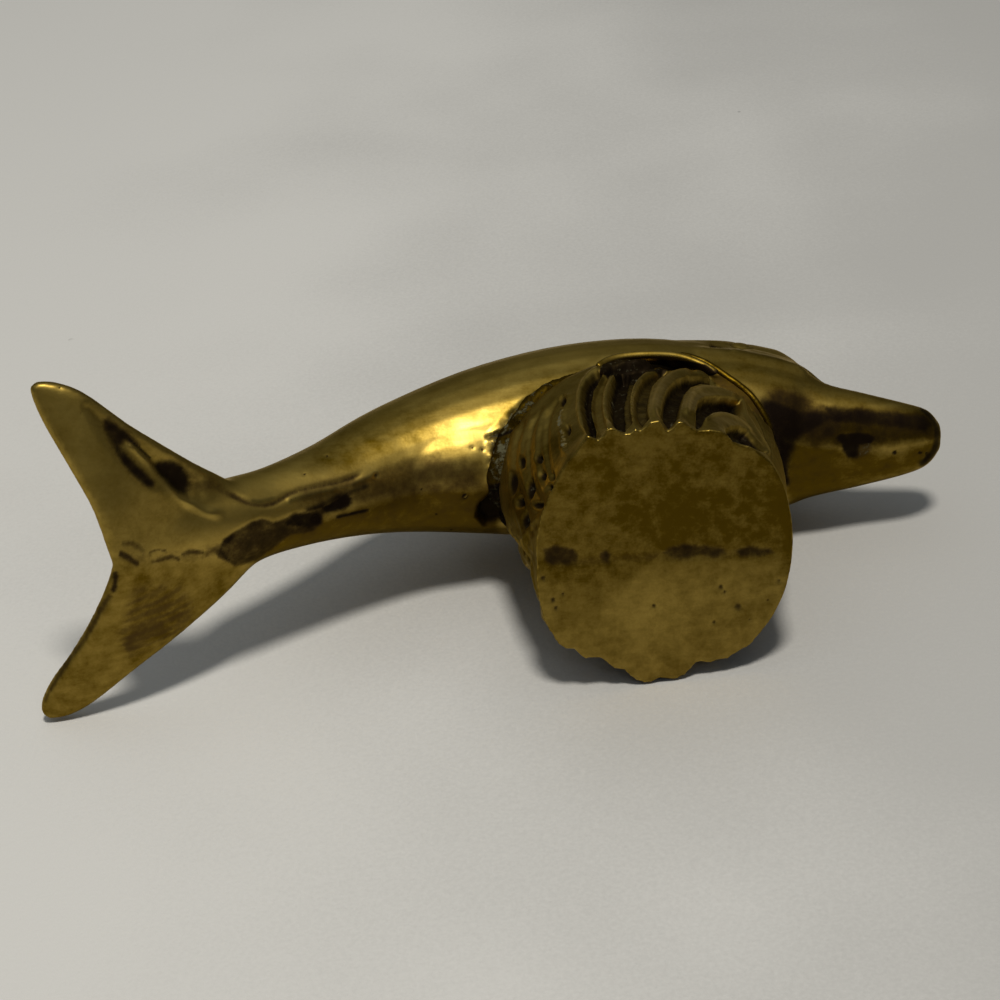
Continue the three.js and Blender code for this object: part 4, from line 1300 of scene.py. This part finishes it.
def cloth_material():
    """Pale cloth. It can't be seen from behind, so that no view is shut out."""
    material, tree, shader = plain_material("pale_cloth")
    place = add_node(tree, "ShaderNodeTexCoord").outputs["Object"]
    weave = noise(tree, place, 1500, 2)
    cloth = bpy.context.scene.studio_settings.cloth
    parts = add_node(tree, "ShaderNodeSeparateXYZ", {"Vector": place}).outputs
    # The colour is painted darker towards +X, lighter towards +Z and in large soft blotches: painted
    # light and shade across the cloth.
    share = total(
        tree, times(tree, weave, 0.22), times(tree, noise(tree, place, 12, 2), 0.6),
        times(tree, parts["X"], -2.6), times(tree, parts["Z"], 0.5),
    )
    share = remap(tree, share, 0.2, 0.75)
    colour = blend_colour(tree, share, opaque(times_colour(0.72, cloth)), opaque(cloth))
    lint = specks(tree, place, 60, (0.05, 0.03), 25, (0.60, 0.66))
    colour = blend_colour(tree, times(tree, lint, 0.6), colour, opaque(times_colour(0.12, cloth)))
    tree.links.new(colour, shader.inputs["Base Color"])
    shader.inputs["Roughness"].default_value = 0.9
    shader.inputs["Specular IOR Level"].default_value = 0.2
    bump = add_node(tree, "ShaderNodeBump", {"Height": weave, "Strength": 0.3, "Distance": 0.2 * MM})
    tree.links.new(bump.outputs["Normal"], shader.inputs["Normal"])
    clear_from_behind(tree, shader)
    return material


def floor_material():
    """Pale floor under the standing figurine, for views from above it."""
    material, tree, shader = plain_material("pale_floor")
    shader.inputs["Base Color"].default_value = opaque(bpy.context.scene.studio_settings.cloth)
    shader.inputs["Roughness"].default_value = 0.9
    camera_ray = add_node(tree, "ShaderNodeLightPath").outputs["Is Camera Ray"]
    clear_from_behind(tree, shader, camera_ray)
    return material


def clear_from_behind(tree, shader, shown_to=None):
    """Makes a surface clear from behind and, where given, to all rays but the shown ones."""
    behind = add_node(tree, "ShaderNodeNewGeometry").outputs["Backfacing"]
    front = calc(tree, "SUBTRACT", 1.0, behind)
    if shown_to is not None:
        front = calc(tree, "MULTIPLY", front, shown_to)
    clear = tree.nodes.new("ShaderNodeBsdfTransparent")
    both = tree.nodes.new("ShaderNodeMixShader")
    tree.links.new(front, both.inputs[0])
    tree.links.new(clear.outputs[0], both.inputs[1])
    tree.links.new(shader.outputs[0], both.inputs[2])
    tree.links.new(both.outputs[0], tree.nodes["Material Output"].inputs["Surface"])


def finishes():
    """The finishes of the satin brass, the wave and the crust, made once and shared."""
    names = ("brushed_brass", "ribbed_brass", "braze_crust")
    if names[0] not in bpy.data.materials:
        colours = bpy.context.scene.brass_colours
        satin, olive = colours.satin, colours.olive
        dull = times_colour(0.5, olive)
        brass(names[0], satin, olive, 0.41, (0.12, 1.0, 1.0), 0.40)
        brass(names[1], satin, times_colour(0.86, olive), 0.43, (0.2, 1.0, 0.4), 0.5)
        brass(names[2], dull, times_colour(0.5, dull), 0.6, (1, 1, 1), 1.0)
    return [bpy.data.materials[name] for name in names]


class FIGURINE_OT_dolphin(bpy.types.Operator):
    """Models the dolphin's body and flukes as a right and a left casting with their seam"""

    bl_idname = "figurine.dolphin"
    bl_label = "Dolphin Castings"

    def execute(self, context):
        satin, _wave, _crust = finishes()
        skin = dolphin_skin()
        keep_for_joints(skin)
        split_castings(skin, "dolphin", satin, "satin_brass")
        return {"FINISHED"}


def finished_fin(node_name, leading, trailing, thickness):
    """A fin with its finish, in the place of its node."""
    fin = fin_loft(node_name + "_finish", leading, trailing, thickness, FIN_FULLNESS)
    modify(fin, "SUBSURF", levels=2, render_levels=2)
    smooth_skin(fin)
    satin, _wave, _crust = finishes()
    place_piece(fin, satin, "satin_brass", node_name)
    return fin


class FIGURINE_OT_fins(bpy.types.Operator):
    """Models the dorsal fin and both pectoral fins"""

    bl_idname = "figurine.fins"
    bl_label = "Fins"

    def execute(self, context):
        finished_fin("dorsal_fin", DORSAL_FIN_LEADING, DORSAL_FIN_TRAILING, DORSAL_FIN_THICKNESS)
        for name, side in (("right_pectoral_fin", -1), ("left_pectoral_fin", 1)):
            leading = [(x, side * y, z) for x, y, z in PECTORAL_FIN_LEADING]
            trailing = [(x, side * y, z) for x, y, z in PECTORAL_FIN_TRAILING]
            fin = finished_fin(name, leading, trailing, PECTORAL_FIN_THICKNESS)
            seen = seen_from_right(points_of(fin))
            # Painted shade where the fins lie in the recess under the wave's lip
            painted_recess_shade = np.maximum(patch(seen, LIP_RECESS, 2.5), smooth_step(seen[:, 1], *RECESS_SHADE))
            paint(fin, "dark", painted_recess_shade)
            paint(fin, "dull", np.full(len(seen), 0.55))
        return {"FINISHED"}


class FIGURINE_OT_wave(bpy.types.Operator):
    """Models the ribbed wave as a right and a left casting with their seam"""

    bl_idname = "figurine.wave"
    bl_label = "Wave Castings"

    def execute(self, context):
        _satin, wave, _crust = finishes()
        split_castings(wave_skin(), "wave", wave, "wave_brass")
        return {"FINISHED"}


# What the photograph shows on the brazing metal, in its pixels
CRUST_LINES = (
    (((497, 444), (505, 428), (515, 416), (530, 405), (545, 398), (562, 392)), 5.5, 0,
     {"verdigris": 0.55}),
    (((486, 438), (500, 435), (512, 431), (520, 429)), 4, 0, {"dark": 1.0}),
    (((498, 437), (494, 446), (493, 454)), 3, 0, {"dark": 0.9}),
)
CRUST_PATCHES = (
    (((498, 440), (512, 437), (514, 455), (510, 478), (498, 480), (494, 462)), 6, 0,
     {"verdigris": 0.7}),
    # Painted shade in the black hollow beside the wave, and in the gap between the wave's front rim and
    # the head
    (((484, 486), (506, 480), (514, 500), (510, 525), (480, 526)), 6, 0, {"dark": 1.0}),
    (((764, 425), (790, 425), (794, 510), (776, 510)), 16, 0, {"dark": 0.9}),
    (((690, 350), (780, 370), (780, 440), (690, 400)), 4, 0, {"dull": 0.6}),
)

# The beads of brazing metal, in mm: how thick they are, and the sizes of their faces and lumps.
# The rear bead starts thin at the sides and is thick at the back.
FRONT_BEAD = {"voxel": 0.2, "lumps": 0.15, "grain": 1.2}
FRONT_BEAD_RADIUS = 0.48
FRONT_BEAD_SIDE_SWELL = 0.16
FRONT_BEAD_RISE = 0.25
REAR_BEAD = {"voxel": 0.25, "lumps": 1.1, "grain": 2.2}
REAR_BEAD_RADIUS = (0.5, 1.9)
REAR_BEAD_SWELL = (5, 17)
REAR_BEAD_STEP = 2.5
FIN_BEAD = {"voxel": 0.22, "lumps": 0.2, "grain": 1.0}
FIN_BEAD_RADIUS = 0.7
FIN_BEAD_INSET = (0.9, 0.6)
FIN_BEAD_POINTS = 48
ABOVE_ALL = 90

joint_trees = {}


def keep_for_joints(skin):
    """Remembers the dolphin's skin, so that the beads can be laid along it."""
    joint_trees["dolphin"] = BVHTree.FromPolygons(
        [tuple(point) for point in points_of(skin)],
        [tuple(face.vertices) for face in skin.data.polygons],
    )


def inside_dolphin(point):
    place, normal, _face, _distance = joint_trees["dolphin"].find_nearest(Vector(point))
    return (Vector(point) - place).dot(normal) < 0


def joint_point(bearing):
    """Where the shoulder of the wave meets the belly, at a bearing in radians."""
    outside, inside = 0.7, 2.0
    while inside - outside > 0.001:
        middle = (outside + inside) / 2
        if inside_dolphin(wave_place(np.array([bearing]), np.array([middle]))[0]):
            inside = middle
        else:
            outside = middle
    return wave_place(np.array([bearing]), np.array([inside]))[0]


def bead(node_name, line, radii, closed, voxel, lumps, grain):
    """A bead of brazing metal along a line. Lengths are in mm."""
    name = node_name + "_finish"
    curve = bpy.data.curves.new(name, "CURVE")
    curve.dimensions = "3D"
    curve.bevel_depth = MM
    curve.bevel_resolution = 3
    curve.use_fill_caps = True
    spline = curve.splines.new("POLY")
    spline.points.add(len(line) - 1)
    for point, place, radius in zip(spline.points, line, radii):
        point.co = (*(np.array(place) * MM), 1)
        point.radius = radius
    spline.use_cyclic_u = closed
    holder = bpy.data.objects.new(name, curve)
    bpy.context.scene.collection.objects.link(holder)
    only(holder)
    bpy.ops.object.convert(target="MESH")
    piece = bpy.context.object
    modify(piece, "REMESH", mode="VOXEL", voxel_size=voxel * MM)
    make_lumpy(piece, grain, lumps)
    smooth_skin(piece)
    return piece


def front_bead():
    """The slim bead along the lip of the wave, in front of the pectoral fins."""
    right_lip = curve_through(FRONT_LIP, 60)
    left_lip = right_lip[-2::-1] * (1, -1, 1)
    line = np.vstack((right_lip, left_lip))
    radii = FRONT_BEAD_RADIUS + FRONT_BEAD_SIDE_SWELL * smooth_step(np.abs(line[:, 1]), 2, 10)
    line[:, 2] += FRONT_BEAD_RISE
    return bead("front_joint_braze", line, radii, False, **FRONT_BEAD)


def rear_bead():
    """The rough crust behind the pectoral fins, where the belly meets the wave."""
    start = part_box("rear_joint_braze")[1].x / MM
    turns = np.radians(np.arange(0, 360, REAR_BEAD_STEP))
    line = np.array([place for place in map(joint_point, turns) if place[0] < start])
    thin, thick = REAR_BEAD_RADIUS
    radii = thin + (thick - thin) * smooth_step(-line[:, 0], *REAR_BEAD_SWELL)
    return bead("rear_joint_braze", line, radii, False, **REAR_BEAD)


def fin_bead():
    """The bead round the foot of the dorsal fin, laid on the back."""
    low, high = (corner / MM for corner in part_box("dorsal_fin_braze"))
    middle, reach = (low + high) / 2, (high - low) / 2
    line = []
    for turn in np.linspace(0, 2 * math.pi, FIN_BEAD_POINTS, endpoint=False):
        x = middle.x + (reach.x - FIN_BEAD_INSET[0]) * math.cos(turn)
        y = (reach.y - FIN_BEAD_INSET[1]) * math.sin(turn)
        above, down = Vector((x, y, ABOVE_ALL)), Vector((0, 0, -1))
        line.append(tuple(joint_trees["dolphin"].ray_cast(above, down)[0]))
    return bead("dorsal_fin_braze", line, [FIN_BEAD_RADIUS] * len(line), True, **FIN_BEAD)


def finish_joint(piece, finish, node_name, least):
    """Paints what the photograph shows on a bead, and at least so much of some layers."""
    pixels = in_picture(points_of(piece))
    _heights, layers = marked(pixels, facing_camera(piece), CRUST_LINES, CRUST_PATCHES)
    for layer, weights in layers.items():
        paint(piece, layer, np.maximum(weights, least.get(layer, 0)))
    place_piece(piece, finish, "braze_metal", node_name)


class FIGURINE_OT_joints(bpy.types.Operator):
    """Models the brazing metal between the dolphin, the wave and the fins"""

    bl_idname = "figurine.joints"
    bl_label = "Brazed Joints"

    def execute(self, context):
        satin, wave, crust = finishes()
        front = front_bead()
        finish_joint(front, wave, "front_joint_braze", {"dull": 0.95, "stain": 0.25})
        rear = rear_bead()
        rearward = smooth_step(-points_of(rear)[:, 0], 4, 16)
        least = {"dark": 0.55 - 0.2 * rearward, "verdigris": 0.35 * rearward}
        finish_joint(rear, crust, "rear_joint_braze", least)
        fin = fin_bead()
        paint(fin, "stain", np.full(len(fin.data.vertices), 0.35))
        place_piece(fin, satin, "braze_metal", "dorsal_fin_braze")
        return {"FINISHED"}


# The stage, in metres. The floor lies a little below the foot, and the cloth a little off the
# pieces that touch it.
STAGE_SIZE = 1.6
FLOOR_DROP = 0.2 * MM
CLOTH_GAP = 0.1 * MM
# What the lamps point at, where they stand, how wide they are and their colours
LAMP_TARGET = Vector((-20, 0, 30)) * MM
OVERHEAD_PLACE = LAMP_TARGET + Vector((-0.045, -0.92, -0.40)) * 1.5
OVERHEAD_SIZE = 0.26
OVERHEAD_COLOUR = (1.0, 0.965, 0.91)
WINDOW_PLACE = LAMP_TARGET + Vector((0.13, -0.50, -0.85)) * 0.75
WINDOW_SIZE = 0.10
WINDOW_COLOUR = (0.88, 0.96, 1.08)
ROOM_COLOUR = (0.90, 0.97, 1.04)
SENSOR_WIDTH = 36


def add_lamp(name, place, size, power, colour):
    lamp = bpy.data.lights.new(name, "AREA")
    lamp.shape = "DISK"
    lamp.size = size
    lamp.energy = power
    lamp.color = colour
    holder = bpy.data.objects.new(name, lamp)
    holder.location = place
    holder.rotation_euler = (LAMP_TARGET - place).to_track_quat("-Z", "Y").to_euler()
    bpy.context.scene.collection.objects.link(holder)


def room():
    """The room's light: brightest behind the camera, darker past the beak and below."""
    world = bpy.data.worlds.new("room")
    bpy.context.scene.world = world
    world.use_nodes = True
    tree = world.node_tree
    way = add_node(tree, "ShaderNodeTexCoord").outputs["Generated"]
    parts = add_node(tree, "ShaderNodeSeparateXYZ", {"Vector": way}).outputs
    up = add_node(
        tree, "ShaderNodeVectorMath", {0: way, 1: tuple(-CLOTH_DOWN)}, operation="DOT_PRODUCT"
    )
    level = bpy.context.scene.studio_settings.room_light
    light = remap(tree, up.outputs["Value"], -0.1, 0.9, 0.42 * level, level)
    for axis, start, end, share in (
        ("X", 0.1, 0.6, 0.3), ("Z", -0.2, -0.9, 0.38), ("Z", 0.35, 0.9, 0.4), ("X", -0.3, -0.9, 0.6),
    ):
        light = times(tree, light, remap(tree, parts[axis], start, end, 1.0, share))
    background = tree.nodes["Background"].inputs
    tree.links.new(light, background["Strength"])
    background["Color"].default_value = opaque(ROOM_COLOUR)


def add_stage_plane(name, material, middle, upward):
    bpy.ops.object.select_all(action="DESELECT")
    bpy.ops.mesh.primitive_grid_add(x_subdivisions=24, y_subdivisions=24, size=STAGE_SIZE)
    plane = bpy.context.object
    plane.name = name
    plane.rotation_euler = upward.to_track_quat("Z", "Y").to_euler()
    plane.location = middle
    bpy.ops.object.transform_apply(location=True, rotation=True, scale=True)
    plane.data.materials.append(material)
    plane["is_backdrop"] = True


class FIGURINE_OT_studio(bpy.types.Operator):
    """Lays the figurine on its cloth and sets up the room, the lamps and the camera"""

    bl_idname = "figurine.studio"
    bl_label = "Studio"

    def execute(self, context):
        settings = context.scene.studio_settings
        solid_pieces = [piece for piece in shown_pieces() if piece.type == "MESH"]
        reach = max((points_of(piece) @ np.array(CLOTH_DOWN)).max() for piece in solid_pieces) * MM
        add_stage_plane("cloth", cloth_material(), CLOTH_DOWN * (reach + CLOTH_GAP), -CLOTH_DOWN)
        add_stage_plane("floor", floor_material(), Vector((0, 0, -FLOOR_DROP)), Vector((0, 0, 1)))
        add_lamp(
            "overhead_lamp", OVERHEAD_PLACE, OVERHEAD_SIZE, settings.overhead_power, OVERHEAD_COLOUR
        )
        add_lamp("window_lamp", WINDOW_PLACE, WINDOW_SIZE, settings.window_power, WINDOW_COLOUR)
        room()
        camera = bpy.data.objects.new("camera", bpy.data.cameras.new("camera"))
        camera.data.sensor_width = SENSOR_WIDTH
        camera.data.lens = SENSOR_WIDTH * FOCAL_PIXELS / PICTURE_SIZE
        camera.data.clip_start = 0.01
        turn = Matrix((PICTURE_RIGHT, -PICTURE_DOWN, -PICTURE_AHEAD)).transposed()
        camera.matrix_world = Matrix.Translation(CAMERA_PLACE) @ turn.to_4x4()
        bpy.context.scene.collection.objects.link(camera)
        bpy.context.scene.camera = camera
        bpy.context.scene.view_settings.view_transform = "Standard"
        return {"FINISHED"}


OPERATORS = (
    FIGURINE_OT_dolphin,
    FIGURINE_OT_fins,
    FIGURINE_OT_wave,
    FIGURINE_OT_joints,
    FIGURINE_OT_studio,
)
GROUPS = (
    ("figurine_sizes", FigurineSizes),
    ("brass_colours", BrassColours),
    ("studio_settings", StudioSettings),
)


class VIEW3D_PT_figurine(bpy.types.Panel):
    """Lists the figurine's pieces and settings"""

    bl_label = "Brass Dolphin"
    bl_idname = "VIEW3D_PT_figurine"
    bl_space_type = "VIEW_3D"
    bl_region_type = "UI"
    bl_category = "Dolphin"

    def draw(self, context):
        for operator in OPERATORS:
            self.layout.operator(operator.bl_idname)
        for name, group in GROUPS:
            box = self.layout.box()
            for setting in group.__annotations__:
                box.prop(getattr(context.scene, name), setting)


def register():
    for name, group in GROUPS:
        bpy.utils.register_class(group)
        setattr(bpy.types.Scene, name, PointerProperty(type=group))
    for operator in OPERATORS:
        bpy.utils.register_class(operator)
    bpy.utils.register_class(VIEW3D_PT_figurine)


def unregister():
    bpy.utils.unregister_class(VIEW3D_PT_figurine)
    for operator in reversed(OPERATORS):
        bpy.utils.unregister_class(operator)
    for name, group in reversed(GROUPS):
        delattr(bpy.types.Scene, name)
        bpy.utils.unregister_class(group)


def main():
    register()
    bpy.ops.figurine.dolphin()
    bpy.ops.figurine.fins()
    bpy.ops.figurine.wave()
    bpy.ops.figurine.joints()
    bpy.ops.figurine.studio()


if __name__ == "__main__":
    main()
